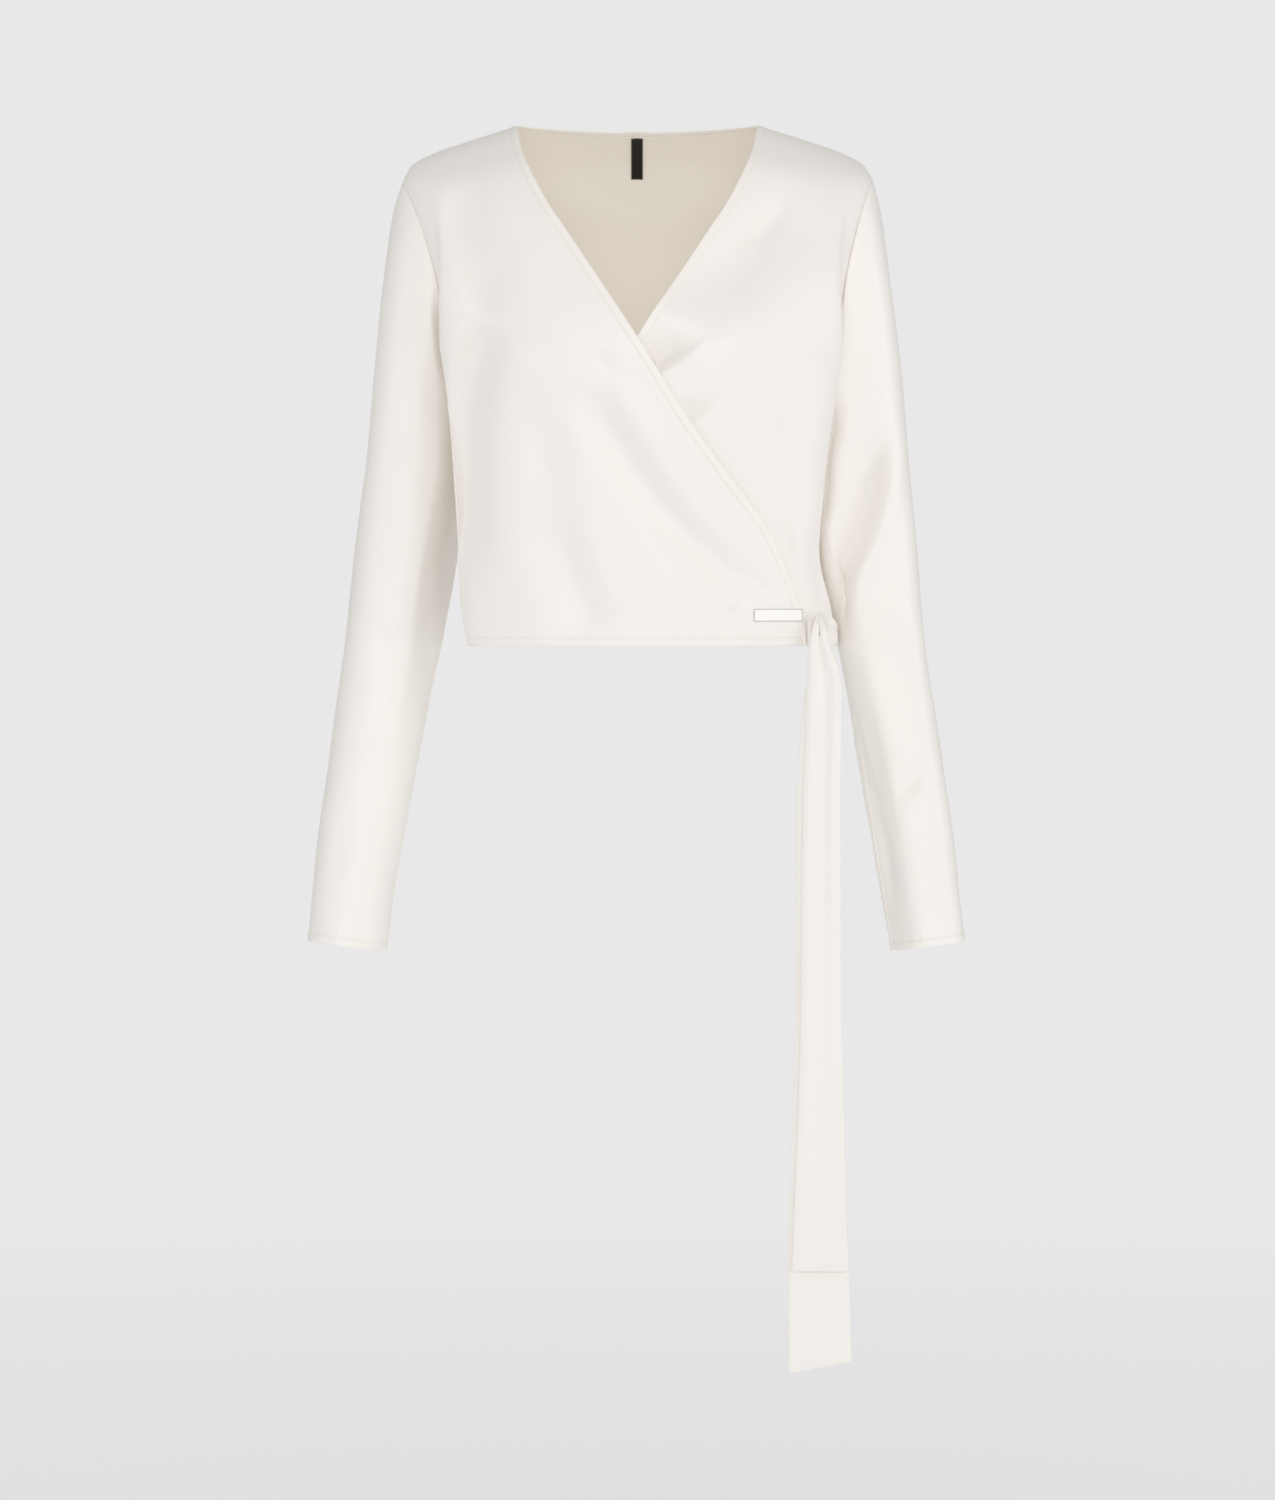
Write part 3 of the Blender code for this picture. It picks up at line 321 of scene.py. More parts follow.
TAIL_PLEATS = 1.6         # waves across a tail where it leaves the knot
TAIL_PLEAT_SHIFT = 0.12   # where the first wave starts, as a share of the width
TAIL_START = 1.2          # steps over which a tie's pleats begin
Tail = namedtuple("Tail", "z left_x right_x y pleat")
TAIL_FRONT = table(Tail, (
    (-0.3712, 0.1428, 0.1446, -0.0640, 0.0000),
    (-0.3745, 0.1412, 0.1466, -0.0712, 0.0001),
    (-0.3830, 0.1384, 0.1482, -0.0762, 0.0004),
    (-0.3980, 0.1350, 0.1520, -0.0784, 0.0012),
    (-0.4240, 0.1334, 0.1606, -0.0782, 0.0016),
    (-0.4600, 0.1322, 0.1612, -0.0780, 0.0015),
    (-0.5200, 0.1303, 0.1602, -0.0782, 0.0010),
    (-0.6000, 0.1293, 0.1606, -0.0785, 0.0008),
    (-0.6800, 0.1285, 0.1606, -0.0788, 0.0006),
    (-0.7550, 0.1268, 0.1624, -0.0790, 0.0005),
    (-0.8260, 0.1240, 0.1642, -0.0792, 0.0004),
    (-0.8900, 0.1215, 0.1664, -0.0794, 0.0003),
))
TAIL_REAR = table(Tail, (
    (-0.4060, 0.1420, 0.1560, -0.0640, 0.0010),
    (-0.4220, 0.1360, 0.1590, -0.0715, 0.0012),
    (-0.4500, 0.1300, 0.1610, -0.0752, 0.0014),
    (-0.5200, 0.1256, 0.1600, -0.0754, 0.0010),
    (-0.6000, 0.1252, 0.1600, -0.0757, 0.0008),
    (-0.6800, 0.1246, 0.1604, -0.0760, 0.0006),
    (-0.7550, 0.1228, 0.1622, -0.0762, 0.0005),
    (-0.8260, 0.1198, 0.1648, -0.0764, 0.0004),
    (-0.8900, 0.1190, 0.1668, -0.0766, 0.0003),
    (-0.9656, 0.1192, 0.1686, -0.0768, 0.0000),
))

TAIL_END_SLANT = 0.0094   # the rear end is cut aslant, lower at its inner corner
TAIL_SLANT_POWER = 8      # keeps the slant to the end's last stretch

KNOT_CENTRE = np.array((0.1487, -0.0610, -0.3895))
KNOT_HALF = np.array((0.0104, 0.0100, 0.0158))
KNOT_SQUARE = 2.4         # above 2 the knot is squarer than a ball

# Stretches of tie that run into the knot
Strap = namedtuple("Strap", "start end start_width end_width pleat")
TIE_OVER = Strap((0.0009, -0.0014, -0.3852), (0.1400, -0.0610, -0.3915), 0.0225, 0.0130, 0.0004)
TIE_SIDE = Strap((0.1602, -0.0005, -0.3868), (0.1552, -0.0530, -0.3890), 0.0180, 0.0150, 0.0005)
STRAP_PLEATS = 2
STRAP_GATHER, STRAP_GATHERS, STRAP_GATHER_SHIFT = 0.0009, 3.3, 1.1   # depth, waves, shift
TIE_BENDS = ((0.23, 1.0, 0.6), (0.13, 0.6, 2.0))   # length, share of the height, shift
TIE_BEND_START = 0.05     # below the knot
END_ROUNDING = 60         # how square the ends of a tie are
LABEL_ROUNDING = 40

# Pleats of the ties where they leave the knot: place across at the knot and further
# down, half width as a share of the width, depth, and reach down the tie in steps
Pleat = namedtuple("Pleat", "top low half depth reach")
FRONT_PLEATS = table(Pleat, (
    (0.62, 0.46, 0.055, 0.0016, 5.2),
    (0.34, 0.22, 0.050, 0.0007, 4.6),
    (0.84, 0.78, 0.045, 0.0008, 4.9),
    (0.50, 0.62, 0.090, 0.0006, 8.5),
))
REAR_PLEATS = table(Pleat, (
    (0.40, 0.30, 0.070, 0.0012, 3.6),
    (0.72, 0.80, 0.060, 0.0010, 3.2),
    (0.55, 0.48, 0.100, 0.0006, 7.0),
))

# Folds of the knot: they fan out from its upper inner corner
KNOT_FAN = np.array((-0.0045, 0.0, 0.0180))
KnotFold = namedtuple("KnotFold", "angle half depth")
KNOT_FOLDS = table(KnotFold, (
    (-112, 7, 0.0010), (-95, 6, 0.0016), (-78, 6, 0.0010), (-62, 7, 0.0014), (-44, 8, 0.0010),
))
KNOT_RIPPLE, KNOT_RIPPLES = 0.0006, 14   # depth of the fine folds, and how many a turn
KNOT_FAN_FADE = 0.012     # the folds grow over this distance from that corner

# --- labels ---

HEM_LABEL_LEFT, HEM_LABEL_RIGHT = 0.0919, 0.1300
HEM_LABEL_TOP, HEM_LABEL_BOTTOM = -0.3700, -0.3796
NECK_LABEL_X, NECK_LABEL_HALF = 0.0000, 0.0049
NECK_LABEL_TOP_ROW, NECK_LABEL_LOW_ROW = 11.665, 12.40
LABEL_RISE = 0.0005       # of the label beside the knot above the cloth, more at its end
LABEL_LIFT_PLACE, LABEL_LIFT_REACH = 0.1190, 0.005
LABEL_WAVE, LABEL_WAVES = 0.00012, (420, 500)   # height, and radians a metre along x and z
NECK_LABEL_DROP, NECK_LABEL_HANG = 0.0006, 0.0004   # behind the cloth, and more lower down
NECK_LABEL_HANG_ROWS = 0.3
FOLD_UNDER, FOLD_PLACE, FOLD_SOFT = 0.8, 0.10, 0.02   # of a label's short ends

# --- flat cuts ---

# Width, length, and area where the cut isn't a rectangle
Cut = namedtuple("Cut", "width length area")

# --- mesh density ---

FRONT_ROWS, FRONT_COLUMNS = 190, 130
BACK_ROWS, BACK_COLUMNS = 180, 190
SLEEVE_RINGS, SLEEVE_SIDES = 230, 152
BAND_STEPS, BAND_SIDES = 260, 14
TAIL_STEPS, TAIL_COLUMNS = 220, 28
STRAP_STEPS, STRAP_COLUMNS = 24, 16
KNOT_RINGS, KNOT_SIDES = 72, 96
LABEL_STEPS, LABEL_COLUMNS = 40, 14
CREASE_SAMPLES = 28
EDGE_CELL = 0.25          # a panel's outermost cells, as a share of what they would be
EVEN_CROWD, RING_CROWD, ROUND_CROWD = 0.6, 0.55, 0.75   # how much closer rows lie at ends
TAIL_CROWD, STRAP_CROWD = 0.5, 0.7

SMALL_STEP = 1e-4         # for slopes of the surfaces
HALVINGS = 32             # of a range, to find a place on a surface

WAVE_SEED = 11            # of the cloth's soft unevenness
WAVE_COUNT = 7
WAVE_LENGTHS = (0.045, 0.120)
WAVE_LEVEL = (1.0, 1.0, 0.45)   # waves run more across than up

# --- looks and stage ---

SATIN_FINISH = {"Specular IOR Level": 0.40, "Sheen Weight": 0.20, "Sheen Roughness": 0.35}
CREPE_FINISH = {"Specular IOR Level": 0.20, "Sheen Weight": 0.10, "Sheen Roughness": 0.60}
SATIN_PAINTED_GLOW, CREPE_PAINTED_GLOW = 0.095, 0.158   # painted light: the cloth glows by itself, lifting and warming its shade, in place of light that comes through the thin cloth
THREAD_FINISH = {"Specular IOR Level": 0.30, "Roughness": 0.55}

# Cloths: colours, lengths of the weave across and down and its height, roughness, painted glow
# and finish
Cloth = namedtuple("Cloth", "light shade weave roughness glow finish")
CLOTHS = {
    "satin_face": Cloth("satin", "satin_shade", (0.0009, 0.0120, 0.00003), 0.42,
                        SATIN_PAINTED_GLOW, SATIN_FINISH),
    # the sleeves' lighter colour is a painted highlight for their satin sheen
    "satin_sleeve_painted_sheen": Cloth("sleeve", "satin", (0.0009, 0.0120, 0.00003), 0.42,
                          SATIN_PAINTED_GLOW, SATIN_FINISH),
    "satin_bias": Cloth("bias", "satin", (0.0012, 0.0090, 0.00003), 0.44,
                        SATIN_PAINTED_GLOW, SATIN_FINISH),
    "crepe_back": Cloth("crepe", "crepe", (0.0008, 0.0010, 0.00006), 0.80,
                        CREPE_PAINTED_GLOW, CREPE_FINISH),
}
PATCH_SIZES = (0.060, 0.060, 0.090)
COLOUR_MIX = (0.7, 0.3)   # of the patches and the weave's streaks
BUMP_MIX = (0.6, 0.4)     # of the streaks and a finer grain
GRAIN_SHARES = (3, 5)     # how much finer that is, across and down
ROUGHNESS_SPREAD = 0.10
THREAD_TWIST, THREAD_SHADE = 0.0005, 0.86
LABEL_FINISH = {"Specular IOR Level": 0.25, "Roughness": 0.62}
LABEL_RIBS, LABEL_RIB_HEIGHT = 180.0, 0.00004
BORDER_SOFT = 0.7         # below 1 a label's border line is darker inwards
# Labels: ground, border, and the border's width as a share of the label's width and length; the
# white label's dark border is partly a woven border and partly painted shadow round its edge
LABELS = {
    "label_white_weave": ("label_white", "label_border_and_shadow", (0.055, 0.014)),
    "label_black_weave": ("label_black", "label_edge", (0.09, 0.020)),
}
FLOOR_RADIUS = 6.0
FLOOR_NEAR, FLOOR_SHARE = 0.6, 0.22   # part of the floor that takes shade, and how much

# Soft boxes: name, place, width, height, and share of the key's power
SoftBox = namedtuple("SoftBox", "name place width height share")
SOFT_BOXES = (
    SoftBox("key_light", (0.05, -4.9, 0.45), 3.0, 2.2, 1.0),
    SoftBox("right_light", (3.6, -2.2, 0.00), 2.4, 2.6, 0.60),
    SoftBox("left_light", (-3.6, -2.2, 0.00), 2.4, 2.6, 0.34),
    SoftBox("top_light", (0.0, -2.0, 3.2), 3.0, 2.0, 0.22),
)

LIGHT_AIM = (0.0, 0.0, -0.35)
CAMERA_X, CAMERA_HEIGHT, SENSOR_WIDTH = 0.0004, -0.48, 36.0
LIGHT_COLOUR, FILL_COLOUR = (1.0, 0.980, 0.955), (0.985, 0.99, 1.0)
FLOOR_COLOUR = (0.8, 0.8, 0.8)

# --- settings ---

def length_setting(name, default, description):
    """A length in metres that a user can change."""
    return FloatProperty(name=name, default=default, description=description, min=0.0,
                         precision=5, unit="LENGTH", subtype="DISTANCE")


def colour_setting(name, default, description):
    """A colour that a user can change."""
    return FloatVectorProperty(name=name, default=default, description=description, size=3,
                               min=0.0, max=1.0, subtype="COLOR")


class WrapTopSizes(bpy.types.PropertyGroup):
    """Sizes of the cloth and of its sewing"""
    cloth: length_setting("Cloth", 0.0006, "Thickness of the satin")
    edge_width: length_setting("Edge width", 0.0064, "Width of the folded bias edges")
    edge_thickness: length_setting("Edge thickness", 0.0010, "Thickness of the bias edges")
    tie_thickness: length_setting("Tie thickness", 0.0014, "Thickness of the turned ties")
    hem_depth: length_setting("Hem depth", 0.0064, "Hem edge to its stitching")
    hem_rise: length_setting("Hem rise", 0.0003, "How far the turned hem stands proud")
    seam_sink: length_setting("Seam sink", 0.0006, "How far the cloth dips at a seam")
    seam_reach: length_setting("Seam reach", 0.0016, "Width of that dip to one side")
    unevenness: length_setting("Unevenness", 0.0005, "Height of the cloth's soft waves")
    pucker: length_setting("Pucker", 0.00014, "Height of the ripples along a seam")
    stitch_length: length_setting("Stitch length", 0.0021, "Length of one stitch")
    stitch_pitch: length_setting("Stitch pitch", 0.0027, "Start of one stitch to the next")
    thread: length_setting("Thread", 0.00036, "Diameter of the sewing thread")
    label_thickness: length_setting("Label thickness", 0.0005, "Thickness of the labels")


class WrapTopColours(bpy.types.PropertyGroup):
    """Colours of the cloth, the thread and the labels"""
    satin: colour_setting("Satin", (0.806, 0.787, 0.768), "Glossy face of the cloth")
    satin_shade: colour_setting("Satin shade", (0.788, 0.764, 0.742), "Its darker patches")
    # painted highlight: a lighter copy of the satin colour that stands in for the sheen along the
    # sleeves
    sleeve: colour_setting("Sleeves", (0.824, 0.804, 0.784), "Satin as the sleeves hang")
    bias: colour_setting("Bias edges", (0.800, 0.772, 0.738), "Satin cut on the bias")
    crepe: colour_setting("Crepe", (0.720, 0.702, 0.664), "Matt back of the cloth")
    # painted light: the colour in which the cloth glows by itself, warming its shade
    glow: colour_setting("Light through the cloth", (1.0, 0.89, 0.74),
                         "Colour of the light that comes through the thin cloth")
    thread: colour_setting("Thread", (0.880, 0.850, 0.800), "Sewing thread")
    label_white: colour_setting("White label", (0.985, 0.980, 0.965), "Label at the hem")
    # partly a woven border and partly painted shadow round the label's edge
    label_border_and_shadow: colour_setting("Label border", (0.180, 0.170, 0.160), "Its woven border")
    label_black: colour_setting("Black label", (0.012, 0.010, 0.010), "Label in the neck")
    label_edge: colour_setting("Black label's edge", (0.250, 0.220, 0.190), "Its pale rim")


class WrapTopStage(bpy.types.PropertyGroup):
    """Floor, lights and camera"""
    floor_height: FloatProperty(name="Floor height", default=-1.16, unit="LENGTH",
                                description="Height of the floor under the hanging top")
    backdrop: colour_setting("Backdrop", (0.807, 0.807, 0.807), "Plain pale background")
    key_power: FloatProperty(name="Key power", default=63.0, min=0.0, unit="POWER",
                             description="Power of the broad light in front")
    fill_strength: FloatProperty(name="Fill strength", default=0.435, min=0.0,
                                 description="Strength of the light from all around")
    lens: FloatProperty(name="Lens", default=135.0, min=1.0, unit="CAMERA",
                        description="Focal length of the camera")
    distance: length_setting("Distance", 4.5, "Camera to the top's middle plane")


# --- curves and surfaces ---

def spline(values, at):
    """Smooth curve through evenly numbered values, at one place or at many."""
    values = np.asarray(values, float)
    at = np.asarray(at, float)
    last = len(values) - 1
    i = np.clip(np.floor(at).astype(int), 0, last - 1)
    t = at - i
    p1, p2 = values[i], values[i + 1]
    p0 = np.where(i > 0, values[np.maximum(i - 1, 0)], 2 * p1 - p2)
    p3 = np.where(i + 2 <= last, values[np.minimum(i + 2, last)], 2 * p2 - p1)
    a = 2 * p0 - 5 * p1 + 4 * p2 - p3
    b = 3 * p1 - p0 - 3 * p2 + p3
    return 0.5 * (2 * p1 + (p2 - p0) * t + a * t * t + b * t * t * t)


def columns(rows, at):
    """Every named column of a table as a smooth curve, read at these rows."""
    return {name: spline([getattr(row, name) for row in rows], at) for name in rows[0]._fields}


def curve_at(points, key):
    """Smooth curve through (key, value) points, straight beyond its ends."""
    keys, values = (np.array(column, float) for column in zip(*points))
    last = len(keys) - 1
    low = np.maximum(np.arange(last + 1) - 1, 0)
    high = np.minimum(np.arange(last + 1) + 1, last)
    slopes = (values[high] - values[low]) / (keys[high] - keys[low])
    inside = np.clip(key, keys[0], keys[-1])
    i = np.clip(np.searchsorted(keys, inside, side="right") - 1, 0, last - 1)
    span = keys[i + 1] - keys[i]
    t = (inside - keys[i]) / span
    rise = (values[i + 1] - values[i]) * (3 * t * t - 2 * t ** 3)
    lead = (t - 2 * t * t + t ** 3) * span * slopes[i]
    trail = (t ** 3 - t * t) * span * slopes[i + 1]
    before = slopes[0] * np.minimum(key - keys[0], 0)
    after = slopes[-1] * np.maximum(key - keys[-1], 0)
    return values[i] + rise + lead + trail + before + after


def smooth(value):
    """0 to 1 with soft ends."""
    value = np.clip(value, 0.0, 1.0)
    return value * value * (3 - 2 * value)


def bell(value):
    """1 at 0, falling softly to 0 on both sides."""
    return np.exp(-value * value)


def unit(vectors):
    """Vectors of length 1."""
    return vectors / np.maximum(np.linalg.norm(vectors, axis=-1, keepdims=True), 1e-12)


def normal_of(surface, u, v):
    """Unit normals of surface(u, v) by its slopes."""
    along_u = surface(u + SMALL_STEP, v) - surface(u - SMALL_STEP, v)
    along_v = surface(u, v + SMALL_STEP) - surface(u, v - SMALL_STEP)
    return unit(np.cross(along_u, along_v))


def turning_place(low, high, is_before):
    """The places between low and high where is_before stops being true."""
    for _ in range(HALVINGS):
        middle = (low + high) / 2
        before = is_before(middle)
        low = np.where(before, middle, low)
        high = np.where(before, high, middle)
    return (low + high) / 2


def crowded(count, ends=EVEN_CROWD):
    """Shares from 0 to 1 that lie closer together towards both ends."""
    t = np.linspace(0, 1, count + 1)
    shares = t - ends * np.sin(2 * math.pi * t) / (2 * math.pi)
    shares[1] *= EDGE_CELL
    shares[-2] = 1 - EDGE_CELL * (1 - shares[-2])
    return shares


def sleeve_corner(side, ring, turn):
    """How far out of its ellipse a sleeve's section is in front."""
    inner = np.where(side > 0, spline(CORNER_POWER[1], ring), spline(CORNER_POWER[0], ring))
    outer = spline(OUTER_POWER, ring) * np.where(side > 0, LEFT_OUTER, 1.0)
    power = np.where(np.cos(turn) < 0, inner, outer)
    across, ahead = np.abs(np.cos(turn)), np.maximum(0.0, np.sin(turn))
    size = (across ** power + ahead ** power) ** (1 / power)
    return np.where(ahead > 0, 1 / np.maximum(size, 0.5), 1.0)


def sleeve_ring(side, ring, angle):
    """Plain sleeve tube of the side, 1 for the wearer's left and -1 for the right."""
    side, column = np.asarray(side), columns(SLEEVE, ring)
    outer_x = np.where(side > 0, column["outer_left"], column["outer_right"])
    inner_x = np.where(side > 0, column["inner_left"], column["inner_right"])
    turn = np.radians(angle)
    corner = sleeve_corner(side, ring, turn)
    outward, ahead = np.cos(turn) * corner, np.sin(turn) * corner
    x = (outer_x + inner_x) / 2 + (outer_x - inner_x) / 2 * outward
    x = x - column["drawn_in"] * np.sin(turn) ** 2
    pressed, begins = (np.where(side > 0, spline(left, ring), spline(right, ring))
                       for right, left in (PRESSED, PRESSED_FROM))
    pressed = np.maximum(0.0, pressed) * smooth((-outward - begins) / PRESSED_REACH)
    behind = PRESSED_BEHIND * pressed
    hollow = PRESSED_HOLLOW * 2 * column["half_depth"] * np.maximum(ahead, SMALL_STEP)
    front = behind + hollow * (1 - np.exp((behind - pressed) / hollow))
    y = column["mid_y"] - column["half_depth"] * ahead + np.where(ahead > 0, front, behind)
    outer_z, inner_z = column["outer_z"], column["inner_z"]
    z = (outer_z + inner_z) / 2 + (outer_z - inner_z) / 2 * outward
    return np.stack(np.broadcast_arrays(side * x, y, z), axis=-1)


def sleeve_normal(side, ring, angle):
    """Outward normals of the plain tube."""
    inside = np.clip(ring, SMALL_STEP, CUFF_RING - SMALL_STEP)
    return side * normal_of(lambda a, r: sleeve_ring(side, r, np.degrees(a)),
                            np.radians(angle), inside)


def profile(name):
    """A column of the sections from the front hem over the shoulder to the back hem."""
    front, back = ([getattr(row, wall + name) for row in LOWER + UPPER[1:]]
                   for wall in ("front_", "back_"))
    return front + back[-2::-1]


PROFILE_Y, PROFILE_Z = profile("y"), profile("z")


def turn_of(row):
    """Angle of a row's section from its middle to its side."""
    level = np.minimum(row, BACK_HEM_ROW - row)
    flatter = smooth((level - UNDERARM_ROW) / (SHOULDER_ROW - UNDERARM_ROW))
    return np.radians(FULL_TURN + (SHOULDER_TURN - FULL_TURN) * flatter)


def panel_side(side, row):
    """Where rows end: on the side seam, or on the armhole above the underarm."""
    level = np.minimum(row, BACK_HEM_ROW - row)
    angle = 180.0 / (SHOULDER_ROW - UNDERARM_ROW) * (SHOULDER_ROW - row)
    armhole = sleeve_ring(side, 0.0, angle)
    lower = columns(LOWER, np.minimum(level, UNDERARM_ROW))
    x = side * np.where(side > 0, lower["left_x"], lower["right_x"])
    seam = np.stack(np.broadcast_arrays(x, lower["side_y"], lower["side_z"]), axis=-1)
    return np.where((level > UNDERARM_ROW)[..., None], armhole, seam)


def softened_side(side):
    """The ends of the rows on one side, their bend at the underarm spread out."""
    row = np.arange(BACK_HEM_ROW * SIDE_SAMPLES + 1) / SIDE_SAMPLES
    ends = panel_side(np.array(float(side)), row)
    pad = 2 * SIDE_SAMPLES
    before, after = 2 * ends[:1] - ends[pad:0:-1], 2 * ends[-1:] - ends[-2:-pad - 2:-1]
    padded = np.concatenate((before, ends, after))
    weight = bell(np.arange(-pad, pad + 1) / SIDE_SAMPLES / SIDE_SPREAD)
    weight /= weight.sum()
    return [np.convolve(column, weight, mode="valid") for column in padded.T]


SOFT_SIDES = softened_side(-1), softened_side(1)


def row_end(across, row):
    """Where rows end, seen from inside a panel: softer away from the side."""
    side = np.where(across >= 0, 1.0, -1.0)
    right, left = (np.stack([spline(column, row * SIDE_SAMPLES) for column in ends], -1)
                   for ends in SOFT_SIDES)
    soft = np.where((side > 0)[..., None], left, right)
    near = smooth(2 * np.abs(across) - 1)[..., None]
    return soft + (panel_side(side, row) - soft) * near


def overhang(across, row):
    """How far a panel hangs out over the sleeve beside it."""
    begins, full, ends = OVERHANG_PLACE
    place = np.abs(across)
    share = smooth((place - begins) / (full - begins)) * smooth((ends - place) / (ends - full))
    right, left = (spline(column, np.minimum(row, BACK_HEM_ROW - row)) for column in OVERHANG)
    share = share * np.where(row > SHOULDER_ROW, BACK_OVERHANG, 1.0)
    return np.where(across > 0, left, right) * share


def body(across, row):
    """Plain surface of the body."""
    across, row = np.broadcast_arrays(np.clip(across, -1.0, 1.0),
                                      np.clip(row, 0.0, BACK_HEM_ROW))
    end = row_end(across, row)
    centre_y, centre_z = spline(PROFILE_Y, row), spline(PROFILE_Z, row)
    turn = turn_of(row)
    angle = np.abs(across) * turn
    share = np.sin(angle) / np.sin(turn)
    closed = np.maximum(0.0, np.cos(turn)) ** SIDE_ROUNDNESS
    bulge = (np.maximum(0.0, np.cos(angle)) ** SIDE_ROUNDNESS - closed) / (1 - closed)
    bulge = np.maximum(0.0, bulge) ** FULLNESS
    y = end[..., 1] + (centre_y - end[..., 1]) * bulge
    z = centre_z + (end[..., 2] - centre_z) * curve_at(SHOULDER_FALL, share)
    x = end[..., 0] * share + np.sign(across) * overhang(across, row)
    return np.stack((x, y, z), axis=-1)


def edge_x(height, inset):
    """Distance from the centre of the wrapped edge's line, moved inwards by inset."""
    slope = (curve_at(EDGE_LINE, height + SMALL_STEP)
             - curve_at(EDGE_LINE, height - SMALL_STEP)) / (2 * SMALL_STEP)
    below = smooth((CORNER_HEIGHT - height) / CORNER_LENGTH)
    share = 1 + (CORNER_SEAM - 1) * below
    return curve_at(EDGE_LINE, height) + inset * share * np.hypot(1, slope)


def edge_across(side, row, inset, reach=1.0):
    """Across values of the wrapped edge at rows of the front of the given side."""
    row, inset = np.broadcast_arrays(np.asarray(row, float), np.asarray(inset, float))

    def is_past_edge(distance):
        point = body(side * distance, row)
        line = edge_x(point[..., 2], inset)
        return side * point[..., 0] < np.where(line < 0, line * reach, line)
    start = np.full(row.shape, -1.0)
    return side * turning_place(start, -start, is_past_edge)


def neck_across(inset):
    """Across value at which the neck edge, moved out by inset, meets the shoulder seam."""
    full = math.radians(SHOULDER_TURN)
    half_width = panel_side(np.array(1.0), np.array(float(SHOULDER_ROW)))[0]
    share = (NECK_HALF_WIDTH + inset) / half_width
    return np.arcsin(share * math.sin(full)) / full


def neck_row(across, inset, edge_width):
    """Row of the back neck edge, moved down by inset."""
    rows = NECK_ROWS + NECK_EDGE_ROWS * inset / edge_width
    share = np.minimum(1.0, np.abs(across) / neck_across(inset))
    return SHOULDER_ROW + rows * (1 - share * share) ** NECK_CURVE


# --- relief ---

def line_samples(points):
    """Points along a smooth curve through a few places."""
    points = np.asarray(points, float)
    at = np.linspace(0, len(points) - 1, CREASE_SAMPLES)
    return np.stack([spline(column, at) for column in points.T], axis=-1)


def crease_depth(points, normals, line, crease):
    """Depth of one crease at points whose surface has these normals."""
    start, step = line[:-1], line[1:] - line[:-1]
    flat = points.reshape(-1, 1, 3)
    share = np.clip(np.sum((flat - start) * step, -1) / np.sum(step * step, -1), 0, 1)
    offset = flat - start - step * share[..., None]
    nearest = np.argmin(np.sum(offset * offset, -1), axis=1)
    each = np.arange(len(nearest))
    away, along = offset[each, nearest], step[nearest]
    place = (nearest + share[each, nearest]) / len(step)
    leftward = np.cross(normals.reshape(-1, 3), along)
    on_left = np.sum(leftward * away, -1) > 0
    distance = np.linalg.norm(away, axis=-1)
    reach = distance / np.where(on_left, crease.left, crease.right)
    shape = bell(reach)
    shape -= np.where(on_left, crease.ridge, 0) * bell((reach - RIDGE_PLACE) / RIDGE_REACH)
    ends = smooth(place / crease.start) * smooth((1 - place) / crease.end)
    return (crease.depth * shape * ends).reshape(points.shape[:-1])


def body_creases(points, creases, facing):
    """Depth of the creases of a panel that faces along Y, in front at -1 and behind at 1."""
    flat = points * np.array((1.0, 0.0, 1.0))
    normals = np.broadcast_to(np.array((0.0, facing, 0.0)), points.shape)
    depth = np.zeros(points.shape[:-1])
    for crease in creases:
        line = line_samples([(x, 0.0, z) for x, z in crease.line])
        depth += crease_depth(flat, normals, line, crease)
    return depth


def wave(distance, length, shift=0.0):
    """A wave of a length, 1 high."""
    return np.sin(distance * 2 * math.pi / length + shift)


def waves(distance, rows):
    """Sum of waves given by their lengths, shares of the height and shifts."""
    return sum(share * wave(distance, length, shift) for length, share, shift in rows)


def unevenness(points, height):
    """Soft unevenness of hanging cloth: a few long waves that cross one another."""
    random = np.random.default_rng(WAVE_SEED)
    total = np.zeros(points.shape[:-1])
    for _ in range(WAVE_COUNT):
        direction = unit(random.normal(size=3) * np.array(WAVE_LEVEL))
        length = random.uniform(*WAVE_LENGTHS)
        shift = random.uniform(0, 2 * math.pi)
        total += wave(points @ direction, length, shift)
    return total * height / math.sqrt(WAVE_COUNT)


def pucker(along, distance, height):
    """Small ripples of the cloth beside a seam or a row of stitches."""
    return height * waves(along, PUCKER_WAVES) * bell(distance / PUCKER_REACH)


def seam_dip(distance, sizes):
    """Dip of the cloth towards a seam."""
    return sizes.seam_sink * bell(distance / sizes.seam_reach)


def felled_seam(distance, along, sizes):
    """A narrow turned seam: proud of the cloth, with a dip along each side."""
    turned = smooth((FELLED_HALF - distance) / FELLED_SOFT)
    dip = FELLED_DIP * bell((distance - FELLED_DIP_PLACE) / FELLED_SOFT)
    return (dip - turned) * sizes.seam_sink + pucker(along, distance, sizes.pucker)


def hem_relief(distance, along, sizes):
    """Turned hem: proud of the cloth up to its stitching, which dips."""
    beyond = distance - sizes.hem_depth
    dip = STITCH_DIP * bell(beyond / STITCH_DIP_REACH)
    return (dip - smooth(-beyond / HEM_SOFT)) * sizes.hem_rise + pucker(
        along, beyond, sizes.pucker)


def inward(normals, across=0.0):
    """Directions in which relief is pressed in: mostly straight back, but along the real
    normal at the ends of rows."""
    at_end = smooth((np.abs(across) - 1 + SIDE_PLAIN) / (PRESS_TURN * SIDE_PLAIN))
    sideways = SIDEWAYS_PRESS + (1 - SIDEWAYS_PRESS) * at_end
    return -unit(normals * np.stack(np.broadcast_arrays(sideways, 1.0, 1.0), axis=-1))


